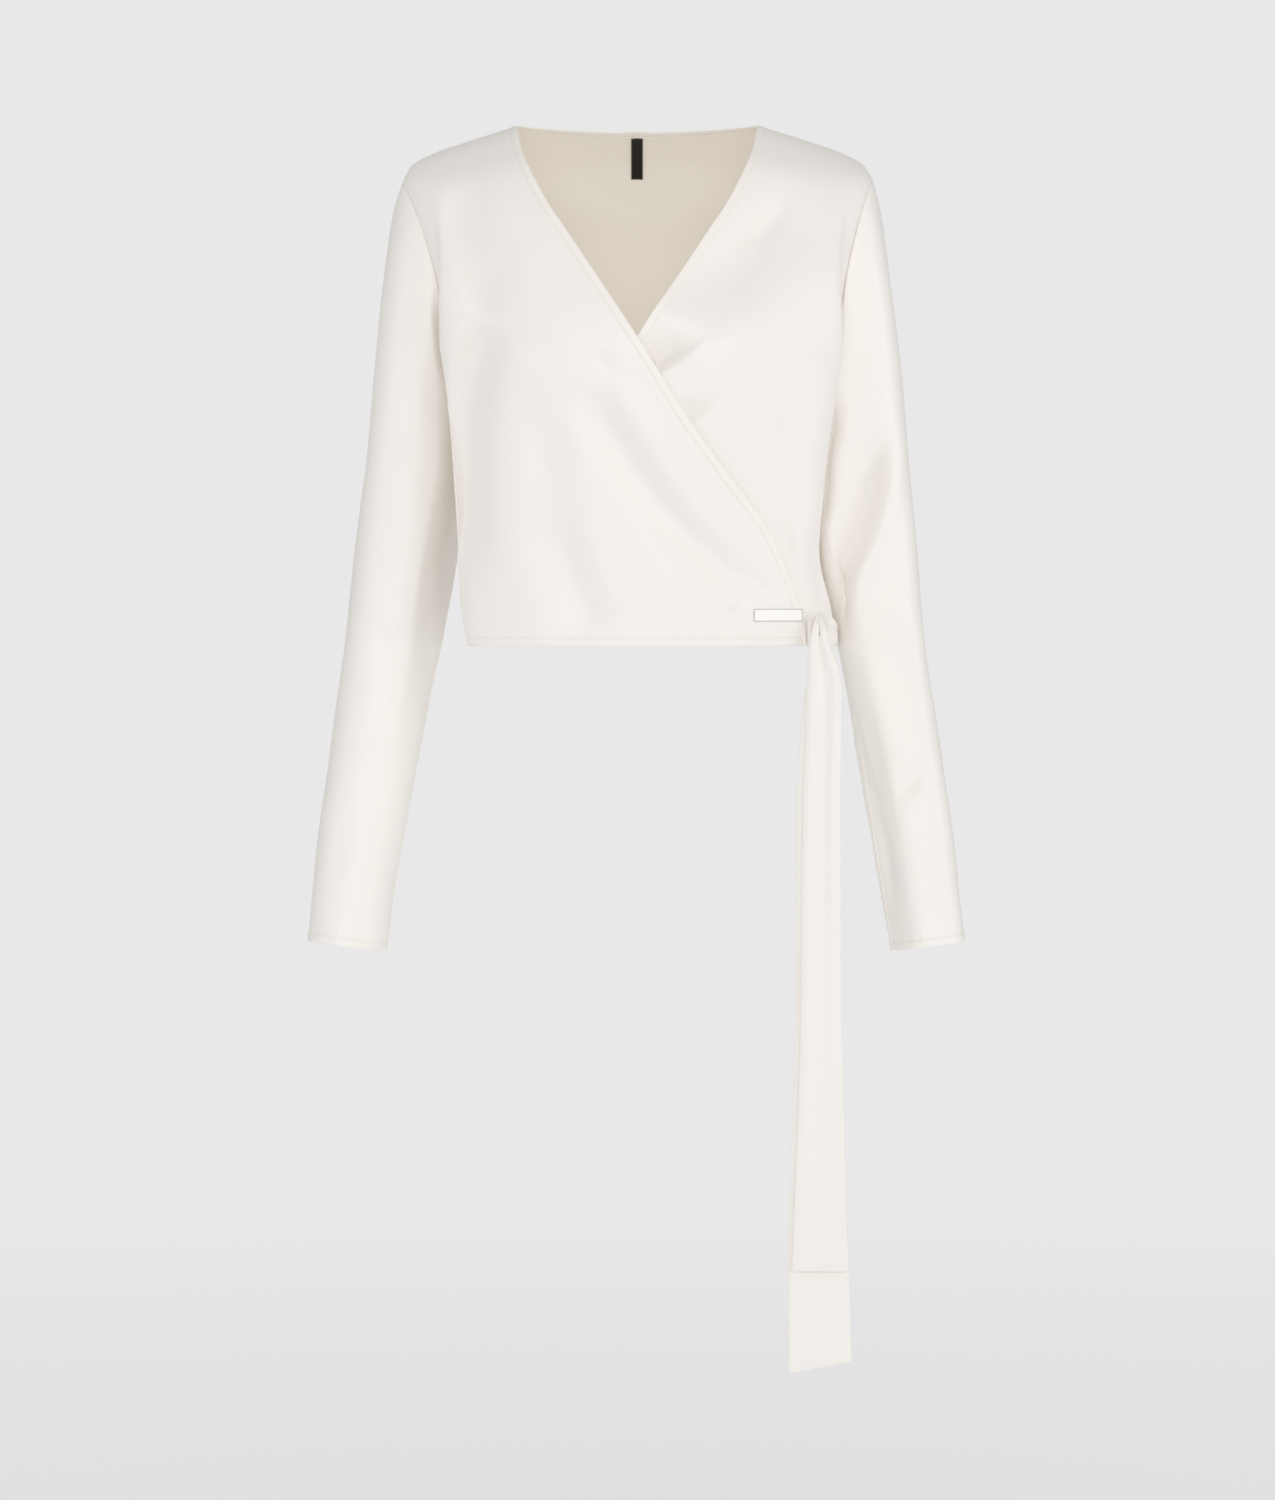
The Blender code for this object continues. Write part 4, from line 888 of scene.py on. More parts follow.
def lengths(points, axis=0):
    """Distance along a path, or a grid's rows or columns, from the first points."""
    steps = np.linalg.norm(np.diff(points, axis=axis), axis=-1)
    pad = [(0, 0)] * steps.ndim
    pad[axis] = (1, 0)
    return np.pad(np.cumsum(steps, axis=axis), pad)


def round_lengths(points):
    """Distance round closed rings of points, with the whole girth as a last column."""
    far = lengths(points, 1)
    last = far[:, -1:] + np.linalg.norm(points[:, -1:] - points[:, :1], axis=-1)
    return np.concatenate((far, last), axis=1)


def chart_of(points, closed=False):
    """Places of a grid's points on the flat cloth; a tube's chart has one column more."""
    across, down = lengths(points, 1), lengths(points, 0)
    if closed:
        across, down = round_lengths(points), np.concatenate((down, down[:, :1]), axis=1)
    return np.stack((across, down), axis=-1)


# --- meshes ---

def grid_normals(points, closed, like):
    """Normals of a grid of points, on the side that other normals point to."""
    if closed:
        wrapped = np.concatenate((points[:, -1:], points, points[:, :1]), axis=1)
        along = wrapped[:, 2:] - wrapped[:, :-2]
    else:
        along = np.gradient(points, axis=1)
    normals = unit(np.cross(along, np.gradient(points, axis=0)))
    return normals * np.sign(np.sum(normals * like))


def layered(name, outer, inner, uv, *materials, closed=False):
    """A piece of cloth: its two faces share the points of its open edges.

    The grids hold rows of points, and their open edges stay sharp. A closed grid's last
    column joins its first, and its uv has one column more."""
    rows, columns = outer.shape[:2]
    edge = np.zeros((rows, columns), bool)
    edge[[0, -1]] = True
    if not closed:
        edge[:, [0, -1]] = True
    outer = outer.copy()
    outer[edge] = (outer[edge] + inner[edge]) / 2
    front = np.arange(rows * columns).reshape(rows, columns)
    back = front.copy()
    back[~edge] = rows * columns + np.arange(np.count_nonzero(~edge))
    points = np.concatenate((outer.reshape(-1, 3), inner[~edge]))

    def quads(numbers, wrap):
        following = np.roll(numbers, -1, axis=1) if wrap else numbers[:, 1:]
        current = numbers if wrap else numbers[:, :-1]
        corners = (current[:-1], following[:-1], following[1:], current[1:])
        return np.stack(corners, axis=-1).reshape(-1, 4)
    outside, inside = quads(front, closed), quads(back, closed)[:, ::-1]
    charts = quads(np.arange(rows * uv.shape[1]).reshape(rows, -1), False)
    corners = np.concatenate((charts, charts[:, ::-1])).ravel()
    mesh = new_mesh(name, points, np.concatenate((outside, inside)).tolist(), materials)
    sides = np.repeat((0, len(materials) - 1), len(outside)).astype(np.int32)
    mesh.polygons.foreach_set("material_index", sides)
    set_chart(mesh, uv.reshape(-1, 2)[corners])
    ends = np.empty(len(mesh.edges) * 2, np.int32)
    mesh.edges.foreach_get("vertices", ends)
    at_edge = np.append(edge.ravel(), np.zeros(len(points) - edge.size, bool))
    mesh.edges.foreach_set("use_edge_sharp", at_edge[ends.reshape(-1, 2)].all(axis=1))
    return add_piece(name, mesh)


def new_mesh(name, points, faces, materials):
    """A smooth shaded mesh with its materials."""
    mesh = bpy.data.meshes.new(name)
    mesh.from_pydata(points.tolist(), [], faces)
    mesh.shade_smooth()
    for finish in materials:
        mesh.materials.append(finish)
    return mesh


def set_chart(mesh, places):
    """Gives each corner of the faces its place on the flat cloth, in metres."""
    mesh.uv_layers.new(name="cut").data.foreach_set("uv", places.astype(np.float32).ravel())
    face_outwards(mesh)


def face_outwards(mesh):
    """Turns the faces of a closed mesh so that they enclose a positive volume."""
    mesh.calc_loop_triangles()
    corners = np.empty(len(mesh.loop_triangles) * 3, np.int32)
    mesh.loop_triangles.foreach_get("vertices", corners)
    points = np.empty(len(mesh.vertices) * 3, np.float32)
    mesh.vertices.foreach_get("co", points)
    a, b, c = points.reshape(-1, 3)[corners.reshape(-1, 3)].astype(float).transpose(1, 0, 2)
    if np.sum(a * np.cross(b, c)) < 0:
        mesh.flip_normals()


def add_piece(name, mesh):
    """Links a finished mesh as a piece that goes with the whole top."""
    piece = bpy.data.objects.new(name, mesh)
    bpy.context.scene.collection.objects.link(piece)
    return piece


def finish_piece(piece, slot, *nodes):
    """Hides the frame's parts that a piece stands in for, and parents it to the root that it
    moves with.
    """
    if nodes:
        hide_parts(*nodes)
    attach(piece, "root")
    return piece


def panel(name, plain, normals, pressed, face, from_hem, sizes, closed=False):
    """A panel of satin with its relief, a grid of vectors, added to a plain surface.

    Gives the piece and the rows of stitches on both faces of its hem, which lies at the
    first row, or at the last of a closed panel."""
    outer = plain + pressed
    bent = grid_normals(outer, closed, normals)
    piece = layered(name, outer, outer - bent * sizes.cloth, chart_of(plain, closed),
                    cloth(face), cloth("crepe_back"), closed=closed)
    if closed:
        outer, bent, from_hem = outer[::-1], bent[::-1], from_hem[::-1]
    path, up = line_at(outer, bent, from_hem, sizes.hem_depth)
    if closed:
        path, up = (np.concatenate((line, line[:1])) for line in (path, up))
    return piece, [(path, up), (path - up * sizes.cloth, -up)]


# --- the panels ---

def quiet(across, row):
    """1 inside a panel, fading at its sides and the shoulder, where panels meet."""
    return smooth((1 - SIDE_PLAIN - np.abs(across)) / SIDE_FADE) * smooth(
        np.abs(row - SHOULDER_ROW) / SHOULDER_FADE)


def plain_relief(creases, facing):
    """Inward depth of a panel's creases and soft waves, as a function of the place."""
    def relief(across, row, sizes):
        points = body(across, row)
        depth = body_creases(points, creases, facing) + unevenness(points, sizes.unevenness)
        return depth * quiet(across, row)
    return relief


front_relief, back_relief = plain_relief(FRONT_CREASES, -1.0), plain_relief(BACK_CREASES, 1.0)


def under_relief(across, row, sizes):
    """Inward depth of the under front: its own creases, and its drop behind the top one."""
    points = body(across, row)
    past_edge = points[..., 0] + edge_x(points[..., 2], 0)
    shown = smooth((past_edge + HIDDEN_SHOWN) / HIDDEN_SHOWN)
    own = body_creases(points, UNDER_CREASES, -1.0) * shown
    shared = body_creases(points, FRONT_CREASES, -1.0) * (1 - shown)
    near = smooth((LAYER_NEAR + LAYER_FADE - past_edge) / LAYER_FADE)
    covered = smooth(-past_edge / HIDDEN_FADE)
    drop = (LAYER_DROP * near + HIDDEN_DROP * covered) * smooth((1 - across) / SIDE_FADE)
    creases = own + shared + unevenness(points, sizes.unevenness)
    return drop + creases * quiet(across, row)


def body_panel(name, across, row, relief, two_sides, sizes):
    """A panel of the body over a grid of places, from its hem up, with its seams and hem."""
    plain, normals = body(across, row), normal_of(body, across, row)
    from_side, from_hem = lengths(plain, 1), lengths(plain, 0)
    to_seam = np.minimum(from_side, from_side[:, -1:] - from_side) if two_sides else from_side
    depth = relief(across, row, sizes) + seam_dip(to_seam, sizes)
    depth = depth + seam_dip(from_hem[-1:] - from_hem, sizes)
    depth = depth + hem_relief(from_hem, from_side, sizes)
    depth = depth + pucker(from_hem, to_seam, sizes.pucker)
    pressed = inward(normals, across) * depth[..., None]
    return panel(name, plain, normals, pressed, "satin_face", from_hem, sizes)


def front_panel(name, side, relief, reach, sizes):
    """A wrapped front, from its side seam and armhole into its bias edge."""
    row = (SHOULDER_ROW * crowded(FRONT_ROWS))[:, None]
    end = edge_across(side, row, sizes.edge_width * PANEL_INSET, reach)
    across = side + (end - side) * crowded(FRONT_COLUMNS)[None, :]
    row = np.broadcast_to(row, across.shape)
    return body_panel(name, across, row, relief, False, sizes)


def back_panel(sizes):
    """The back, from the hem up to the neck edge and the shoulder seams."""
    inset = sizes.edge_width * PANEL_INSET
    ends = float(neck_across(inset))
    quarter = BACK_COLUMNS // 4
    shoulder = ends + (1 - ends) * crowded(quarter)
    neck = ends * np.sin(math.pi * (np.linspace(0, 1, 2 * quarter + 1) - 0.5))
    across = np.concatenate((-shoulder[:0:-1], neck, shoulder[1:]))[None, :]
    top = neck_row(across, inset, sizes.edge_width)
    row = BACK_HEM_ROW + (top - BACK_HEM_ROW) * crowded(BACK_ROWS)[:, None]
    across = np.broadcast_to(across, row.shape)
    return body_panel("back_panel", across, row, back_relief, True, sizes)


def sleeve_relief(side, plain, normals, ring, sizes):
    """Inward depth of a sleeve's creases and waves, fading at the armhole and the cuff."""
    depth = unevenness(plain, sizes.unevenness)
    for crease in LEFT_SLEEVE_CREASES if side > 0 else RIGHT_SLEEVE_CREASES:
        places = line_samples(crease.line)
        line = sleeve_ring(side, places[:, 1], places[:, 0])
        depth = depth + crease_depth(plain, normals, line, crease)
    return depth * smooth(ring / ARMHOLE_FADE) * smooth((CUFF_RING - ring) / CUFF_FADE)


def sleeve_panel(name, side, sizes):
    """A set-in sleeve, open at the armhole and the cuff."""
    ring = (CUFF_RING * crowded(SLEEVE_RINGS, RING_CROWD))[:, None]
    seam = spline(SEAM_ANGLE[side > 0], ring)
    angle = seam + 360 * crowded(SLEEVE_SIDES, ROUND_CROWD)[None, :-1]
    ring, angle = np.broadcast_arrays(ring, angle)
    plain, normals = sleeve_ring(side, ring, angle), sleeve_normal(side, ring, angle)
    along, around = lengths(plain, 0), lengths(plain, 1)
    to_cuff, girth = along[-1:] - along, round_lengths(plain)[:, -1:]
    depth = sleeve_relief(side, plain, normals, ring, sizes)
    depth = depth + seam_dip(along, sizes) + pucker(around, along, sizes.pucker)
    depth = depth + hem_relief(to_cuff, around, sizes)
    depth = depth + felled_seam(np.minimum(around, girth - around), along, sizes)
    pressed = -normals * depth[..., None]
    return panel(name, plain, normals, pressed, "satin_sleeve_painted_sheen", to_cuff, sizes, closed=True)


# --- bias edges ---

Band = namedtuple("Band", "centre inward out width")


def band_between(outer, inner, out):
    """A bias edge between its two rims: middle line, directions and width."""
    width = np.linalg.norm(inner - outer, axis=-1)
    return Band((outer + inner) / 2, unit(inner - outer), out, width)


def edge_band(side, relief, reach, sizes):
    """A front's bias edge."""
    row = SHOULDER_ROW * np.linspace(0, 1, BAND_STEPS + 1)
    rims = []
    for inset in (0.0, sizes.edge_width):
        across = edge_across(side, row, inset, reach)
        pressed = inward(normal_of(body, across, row))
        rims.append(body(across, row) + pressed * relief(across, row, sizes)[..., None])
    middle = edge_across(side, row, sizes.edge_width / 2, reach)
    return band_between(*rims, normal_of(body, middle, row))


def neck_band(sizes):
    """The bias edge of the back neck."""
    share = np.sin(math.pi * (np.linspace(0, 1, BAND_STEPS + 1) - 0.5))

    def places(inset):
        across = float(neck_across(inset)) * share
        return across, neck_row(across, inset, sizes.edge_width)
    rims = [body(*places(inset)) for inset in (0.0, sizes.edge_width)]
    return band_between(*rims, normal_of(body, *places(sizes.edge_width / 2)))


def band_half_thickness(place, sizes):
    """Half the thickness across a bias edge, place -1 at its outer fold and 1 inside."""
    crown = (1 - np.abs(place) ** BAND_CROWN) ** 0.5
    pinch = STITCH_PINCH * bell((place - STITCH_PLACE) / STITCH_PINCH_REACH)
    return sizes.edge_thickness / 2 * crown * (1 - pinch)


def band_piece(name, band, sizes):
    """A folded bias edge: a flat tube with round sides along its middle line."""
    turn = np.linspace(0, 2 * math.pi, BAND_SIDES * 2, endpoint=False)
    place = -np.cos(turn)
    place = np.sign(place) * np.abs(place) ** BAND_SPREAD
    height = np.sign(np.sin(turn)) * band_half_thickness(place, sizes)
    along = lengths(band.centre)
    short, long = (wave(along, length) for length in BAND_RIPPLE_WAVES)
    ripple = 1 + BAND_RIPPLE * short * long
    rings = (band.centre[:, None] + band.inward[:, None] * place[None, :, None]
             * band.width[:, None, None] / 2
             + band.out[:, None] * (height[None, :] * ripple[:, None])[..., None])
    return tube(name, rings, along, cloth("satin_bias"))


def tube(name, rings, along, finish):
    """A tube through closed rings of points, with its two ends closed."""
    steps, sides = rings.shape[:2]
    numbers = np.arange(steps * sides).reshape(steps, sides)
    following = np.roll(numbers, -1, axis=1)
    walls = np.stack((numbers[:-1], numbers[1:], following[1:], following[:-1]), -1)
    faces = [*walls.reshape(-1, 4).tolist(), numbers[0].tolist(), numbers[-1][::-1].tolist()]
    girth = round_lengths(rings)
    chart = np.stack((girth, np.broadcast_to(along[:, None], girth.shape)), axis=-1)
    corner = np.arange(girth.size).reshape(girth.shape)
    charts = np.stack((corner[:-1, :-1], corner[1:, :-1], corner[1:, 1:], corner[:-1, 1:]), -1)
    loops = np.concatenate((charts.ravel(), corner[0, :-1], corner[-1, :-1][::-1]))
    mesh = new_mesh(name, rings.reshape(-1, 3), faces, (finish,))
    set_chart(mesh, chart.reshape(-1, 2)[loops])
    return add_piece(name, mesh)


# --- ties, knot and labels ---

def strip(name, middle, normals, half, uv, finish):
    """A double layer of cloth on both sides of a grid's middle surface."""
    lift = normals * half[..., None]
    return layered(name, middle + lift, middle - lift, uv, finish)


def tie(name, middle, normals, across, along, sizes):
    """A turned tie on a middle surface, with its shares across and along it."""
    half = sizes.tie_thickness / 2 * rounded(across) * rounded(along, END_ROUNDING)
    return strip(name, middle, normals, half, chart_of(middle), cloth("satin_face"))


def rounded(share, power=10):
    """1 over most of a width, falling to 0 as a round edge at both ends."""
    return np.sqrt(np.maximum(0.0, 1 - np.abs(2 * share - 1) ** power))


def tail_points(rows, slant, pleats, across, step):
    """Middle surface of a hanging tie end: across 0 to 1 from inner to outer edge."""
    row = columns(rows, step)
    z = row["z"] + slant * (across - 0.5) * (step / (len(rows) - 1)) ** TAIL_SLANT_POWER
    x = row["left_x"] + (row["right_x"] - row["left_x"]) * across
    turns = TAIL_PLEATS * (across + TAIL_PLEAT_SHIFT)
    depth = row["pleat"] * np.cos(2 * math.pi * turns)
    for pleat in pleats:
        down = smooth(step / pleat.reach)
        place = pleat.top + (pleat.low - pleat.top) * down
        away = (across - place) / (pleat.half * (1 + down))
        depth = depth + pleat.depth * bell(away) * (1 - down) * smooth(step / TAIL_START)
    return np.stack(np.broadcast_arrays(x, row["y"] + depth, z), axis=-1)


def tail(name, rows, slant, pleats, sizes):
    """A hanging end of a turned tie."""
    across, step = np.broadcast_arrays(
        crowded(TAIL_COLUMNS, ROUND_CROWD)[None, :],
        ((len(rows) - 1) * crowded(TAIL_STEPS, TAIL_CROWD))[:, None])

    def surface(u, v):
        return tail_points(rows, slant, pleats, u, v)
    middle, normals = surface(across, step), -normal_of(surface, across, step)
    middle = middle + np.array((0.0, 1.0, 0.0)) * tie_bend(middle, sizes)[..., None]
    return tie(name, middle, normals, across, step / (len(rows) - 1), sizes)


def tie_bend(points, sizes):
    """Slow bends of a hanging tie, in and out."""
    down = KNOT_CENTRE[2] - points[..., 2]
    return waves(down, TIE_BENDS) * sizes.unevenness * smooth(down / TIE_BEND_START)


def strap(name, shape, sizes):
    """A short stretch of tie from a seam to the knot, gathered towards the knot."""
    start, end = np.array(shape.start), np.array(shape.end)
    upward = np.array((0.0, 0.0, 1.0))
    out = unit(np.cross(end - start, upward))

    def surface(along, up):
        width = shape.start_width + (shape.end_width - shape.start_width) * along
        pleats = shape.pleat * np.cos(2 * math.pi * STRAP_PLEATS * up)
        turns = 2 * math.pi * STRAP_GATHERS * up + STRAP_GATHER_SHIFT
        lift = along * (pleats + STRAP_GATHER * np.cos(turns))
        middle = start + (end - start) * along[..., None]
        return middle + (width * (up - 0.5))[..., None] * upward + out * lift[..., None]
    along, up = np.broadcast_arrays(np.linspace(0, 1, STRAP_STEPS + 1)[:, None],
                                    crowded(STRAP_COLUMNS, STRAP_CROWD)[None, :])
    return tie(name, surface(along, up), normal_of(surface, along, up), up, along, sizes)


def knot(name):
    """The knot: a rounded lump whose folds fan out, as the ties are pulled through it."""
    turn = np.linspace(0, 2 * math.pi, KNOT_SIDES, endpoint=False)[None, :]
    tilt = np.linspace(-math.pi / 2, math.pi / 2, KNOT_RINGS + 1)[1:-1, None]
    direction = np.stack(np.broadcast_arrays(
        np.cos(tilt) * np.sin(turn), -np.cos(tilt) * np.cos(turn), np.sin(tilt)), axis=-1)
    size = np.sum(np.abs(direction) ** KNOT_SQUARE, axis=-1) ** (1 / KNOT_SQUARE)
    shape = direction / size[..., None] * KNOT_HALF
    from_fan = shape - KNOT_FAN
    angle = np.degrees(np.arctan2(from_fan[..., 2], from_fan[..., 0]))
    depth = KNOT_RIPPLE * (1 - np.cos(np.radians(angle * KNOT_RIPPLES)))
    for fold in KNOT_FOLDS:
        depth = depth + fold.depth * bell((angle - fold.angle) / fold.half)
    fade = smooth(np.linalg.norm(from_fan, axis=-1) / KNOT_FAN_FADE) * np.cos(tilt) ** 0.5
    rings = KNOT_CENTRE + shape - direction * (depth * fade)[..., None]
    down = np.cumsum(np.full(len(rings), KNOT_HALF[2] * 3 / KNOT_RINGS))
    return tube(name, rings, down, cloth("satin_face"))


def turned_row(height):
    """Row of the front below the underarm that lies at a height."""
    def is_below(row):
        return spline(PROFILE_Z, row) < height
    return turning_place(0.0, float(UNDERARM_ROW), is_below)


def across_at(x, row):
    """Across values at which rows pass x."""
    start = np.full(np.broadcast(x, row).shape, -1.0)
    return turning_place(start, -start, lambda across: body(across, row)[..., 0] < x)


def label(name, points, normals, sizes, weave):
    """A blank woven label whose two short ends are folded under."""
    along = np.linspace(0, 1, points.shape[0])[:, None]
    across = np.linspace(0, 1, points.shape[1])[None, :]
    from_end = np.minimum(along, 1 - along)
    folded = 1 + FOLD_UNDER * smooth((FOLD_PLACE - from_end) / FOLD_SOFT)
    half = (sizes.label_thickness / 2 * folded * rounded(along, LABEL_ROUNDING)
            * rounded(across, LABEL_ROUNDING))
    uv = np.stack(np.broadcast_arrays(across, along), axis=-1)
    return strip(name, points, normals, half, uv, woven(weave))


def hem_label(sizes):
    """The label on the top front beside the knot."""
    x, height = np.broadcast_arrays(
        np.linspace(HEM_LABEL_LEFT, HEM_LABEL_RIGHT, LABEL_STEPS + 1)[:, None],
        np.linspace(HEM_LABEL_BOTTOM, HEM_LABEL_TOP, LABEL_COLUMNS + 1)[None, :])
    row = turned_row(height)
    across = across_at(x, row)
    normals = normal_of(body, across, row)
    rise = LABEL_RISE * (1 + smooth((x - LABEL_LIFT_PLACE) / LABEL_LIFT_REACH))
    rise = rise + LABEL_WAVE * np.sin(x * LABEL_WAVES[0]) * np.sin(height * LABEL_WAVES[1])
    depth = front_relief(across, row, sizes)
    points = body(across, row) + normals * rise[..., None] + inward(normals) * depth[..., None]
    return label("label_hem_woven", points, normals, sizes, "label_white_weave")


def neck_label(sizes):
    """The label inside the back neck, hanging from the bias edge."""
    row, share = np.broadcast_arrays(
        np.linspace(NECK_LABEL_TOP_ROW, NECK_LABEL_LOW_ROW, LABEL_STEPS + 1)[:, None],
        np.linspace(-1, 1, LABEL_COLUMNS + 1)[None, :])
    across = across_at(NECK_LABEL_X + share * NECK_LABEL_HALF, row)
    normals = -normal_of(body, across, row)
    hang = NECK_LABEL_HANG * smooth((row - NECK_LABEL_TOP_ROW) / NECK_LABEL_HANG_ROWS)
    drop = sizes.cloth + NECK_LABEL_DROP + hang + back_relief(across, row, sizes)
    points = body(across, row) + normals * drop[..., None]
    return label("label_neck_woven", points, normals, sizes, "label_black_weave")


# --- stitching ---

def made_by(operator, **settings):
    """The object that one of Blender's own operators adds."""
    bpy.ops.object.select_all(action="DESELECT")
    operator(**settings)
    return bpy.context.object


def stitch_shape(sizes):
    """Points and faces of one stitch lying along X, made from a sphere."""
    made = made_by(bpy.ops.mesh.primitive_uv_sphere_add, segments=6, ring_count=5,
                   radius=sizes.thread / 2, rotation=(0, math.pi / 2, 0))
    bpy.ops.object.transform_apply(location=False, rotation=True, scale=False)
    points = np.array([v.co for v in made.data.vertices])
    faces = [list(p.vertices) for p in made.data.polygons]
    spread = (sizes.stitch_length - sizes.thread) / 2
    points[:, 0] += np.sign(np.round(points[:, 0], 6)) * spread
    bpy.data.objects.remove(made, do_unlink=True)
    return points, faces


def along_line(values, far, at):
    """Values of a path's points, read at these distances along it."""
    return np.stack([np.interp(at, far, column) for column in values.T], -1)


def stitches(name, paths, sizes):
    """Rows of stitches along paths, each a pair of points and outward normals."""
    shape, faces = stitch_shape(sizes)
    all_points, all_faces, count = [], [], 0
    for path, normals in paths:
        far = lengths(path)
        number = int(far[-1] / sizes.stitch_pitch)
        at = (np.arange(number) + 0.5) * far[-1] / number
        centre, ahead, behind = (along_line(path, far, at + shift)
                                 for shift in (0.0, STITCH_SLOPE, -STITCH_SLOPE))
        up, along = unit(along_line(normals, far, at)), unit(ahead - behind)
        side = unit(np.cross(up, along))
        up = np.cross(along, side)
        placed = (centre[:, None] + along[:, None] * shape[None, :, 0:1]
                  + side[:, None] * shape[None, :, 1:2]
                  + up[:, None] * (shape[None, :, 2:3] + sizes.thread * THREAD_RISE))
        all_points.append(placed.reshape(-1, 3))
        for start in range(count, count + placed.shape[0] * len(shape), len(shape)):
            all_faces.extend([[start + v for v in face] for face in faces])
        count += number * len(shape)
    mesh = new_mesh(name, np.concatenate(all_points), all_faces, (thread(),))
    finish_piece(add_piece(name, mesh), "satin")


def line_at(points, normals, distance, value):
    """Where the columns of a grid reach a distance, by interpolation: points and normals."""
    found = np.maximum(np.argmax(distance >= value, axis=0), 1)
    column = np.arange(distance.shape[1])
    low, high = distance[found - 1, column], distance[found, column]
    share = ((value - low) / np.maximum(high - low, 1e-9))[:, None]
    path = points[found - 1, column] * (1 - share) + points[found, column] * share
    return path, normals[found, column]


def band_paths(band, sizes):
    """The rows of stitches along a bias edge, on both of its faces."""
    height = float(band_half_thickness(np.array(STITCH_PLACE), sizes))
    path = band.centre + band.inward * (band.width * STITCH_PLACE / 2)[:, None]
    return [(path + band.out * height, band.out), (path - band.out * height, -band.out)]


# --- materials ---

class Value:
    """An output of a shader's node that can be used in sums."""

    def __init__(self, shader, socket):
        self.shader = shader
        self.socket = socket

    def math(self, operation, *others):
        inputs = dict(enumerate((self, *others)))
        return self.shader.node("ShaderNodeMath", {"operation": operation}, inputs)

    def reflected(self, operation, other):
        return self.shader.node("ShaderNodeMath", {"operation": operation}, {0: other, 1: self})

    def __add__(self, other):
        return self.math("ADD", other)

    def __sub__(self, other):
        return self.math("SUBTRACT", other)

    def __mul__(self, other):
        return self.math("MULTIPLY", other)

    def __truediv__(self, other):
        return self.math("DIVIDE", other)

    def __pow__(self, other):
        return self.math("POWER", other)

    def __radd__(self, other):
        return self.reflected("ADD", other)

    def __rsub__(self, other):
        return self.reflected("SUBTRACT", other)

    def __rmul__(self, other):
        return self.reflected("MULTIPLY", other)


class Shader:
    """A material's or the world's node tree, built by calls."""

    def __init__(self, owner):
        owner.use_nodes = True
        self.tree = owner.node_tree
        self.tree.nodes.clear()

    def node(self, kind, settings=None, inputs=None, output=0):
        """Adds a node and gives one of its outputs.

        Inputs hold numbers, colours or values, by name or number."""
        made = self.tree.nodes.new(kind)
        for name, setting in (settings or {}).items():
            setattr(made, name, setting)
        for name, value in (inputs or {}).items():
            if isinstance(value, Value):
                self.tree.links.new(value.socket, made.inputs[name])
            else:
                made.inputs[name].default_value = value
        return Value(self, made.outputs[output]) if made.outputs else None

    def mix_colours(self, factor, a, b):
        return self.node("ShaderNodeMix", {"data_type": "RGBA"},
                         {0: factor, 6: a, 7: b}, output=2)

    def stretched(self, vector, sizes):
        """A vector divided by a size along each axis."""
        scale = tuple(1 / size for size in sizes)
        return self.node("ShaderNodeVectorMath", {"operation": "MULTIPLY"}, {0: vector, 1: scale})

    def noise(self, vector, detail=2.0):
        return self.node("ShaderNodeTexNoise", None,
                         {"Vector": vector, "Scale": 1.0, "Detail": detail})

    def bump(self, height, distance):
        return self.node("ShaderNodeBump", None,
                         {"Height": height, "Distance": distance, "Strength": 1.0})


def colour4(colour):
    return (*colour, 1.0)


def material(name, build):
    """The named material, built once."""
    found = bpy.data.materials.get(name)
    if found:
        return found
    made = bpy.data.materials.new(name)
    build(Shader(made))
    return made


def cloth(name):
    """The material of a kind of cloth."""
    return material(name, lambda shader: cloth_shader(shader, CLOTHS[name]))


def cloth_shader(shader, kind):
    """Woven cloth: warp floats or crepe grain, soft patches of colour, a sheen, and a painted
    glow that lifts its shade.
    """
    colours = bpy.context.scene.wrap_top_colours
    light, shade = (colour4(getattr(colours, part)) for part in (kind.light, kind.shade))
    across, down, height = kind.weave
    cut = shader.node("ShaderNodeUVMap", {"uv_map": "cut"})
    place = shader.node("ShaderNodeTexCoord", output=3)
    patches = shader.noise(shader.stretched(place, PATCH_SIZES))
    streaks = shader.noise(shader.stretched(cut, (across, down, 1.0)), 3.0)
    fine = (across / GRAIN_SHARES[0], down / GRAIN_SHARES[1], 1.0)
    grain = shader.noise(shader.stretched(cut, fine), 1.0)
    finished(shader, {
        "Base Color": shader.mix_colours(
            patches * COLOUR_MIX[0] + streaks * COLOUR_MIX[1], light, shade),
        "Roughness": streaks * ROUGHNESS_SPREAD + (kind.roughness - ROUGHNESS_SPREAD / 2),
        "Normal": shader.bump(streaks * BUMP_MIX[0] + grain * BUMP_MIX[1], height),
        # painted light: the cloth glows by itself to lift and warm its shade
        "Emission Color": colour4(colours.glow), "Emission Strength": kind.glow,
        **kind.finish,
    })


def finished(shader, inputs):
    """Ends a shader in a Principled surface."""
    surface = shader.node("ShaderNodeBsdfPrincipled", None, inputs)
    shader.node("ShaderNodeOutputMaterial", None, {"Surface": surface})


def thread():
    colours = bpy.context.scene.wrap_top_colours

    def build(shader):
        place = shader.node("ShaderNodeTexCoord", output=3)
        twist = shader.noise(shader.stretched(place, (THREAD_TWIST,) * 3), 0.0)
        darker = tuple(c * THREAD_SHADE for c in colours.thread)
        colour = shader.mix_colours(twist, colour4(colours.thread), colour4(darker))
        finished(shader, {"Base Color": colour, **THREAD_FINISH})
    return material("thread", build)


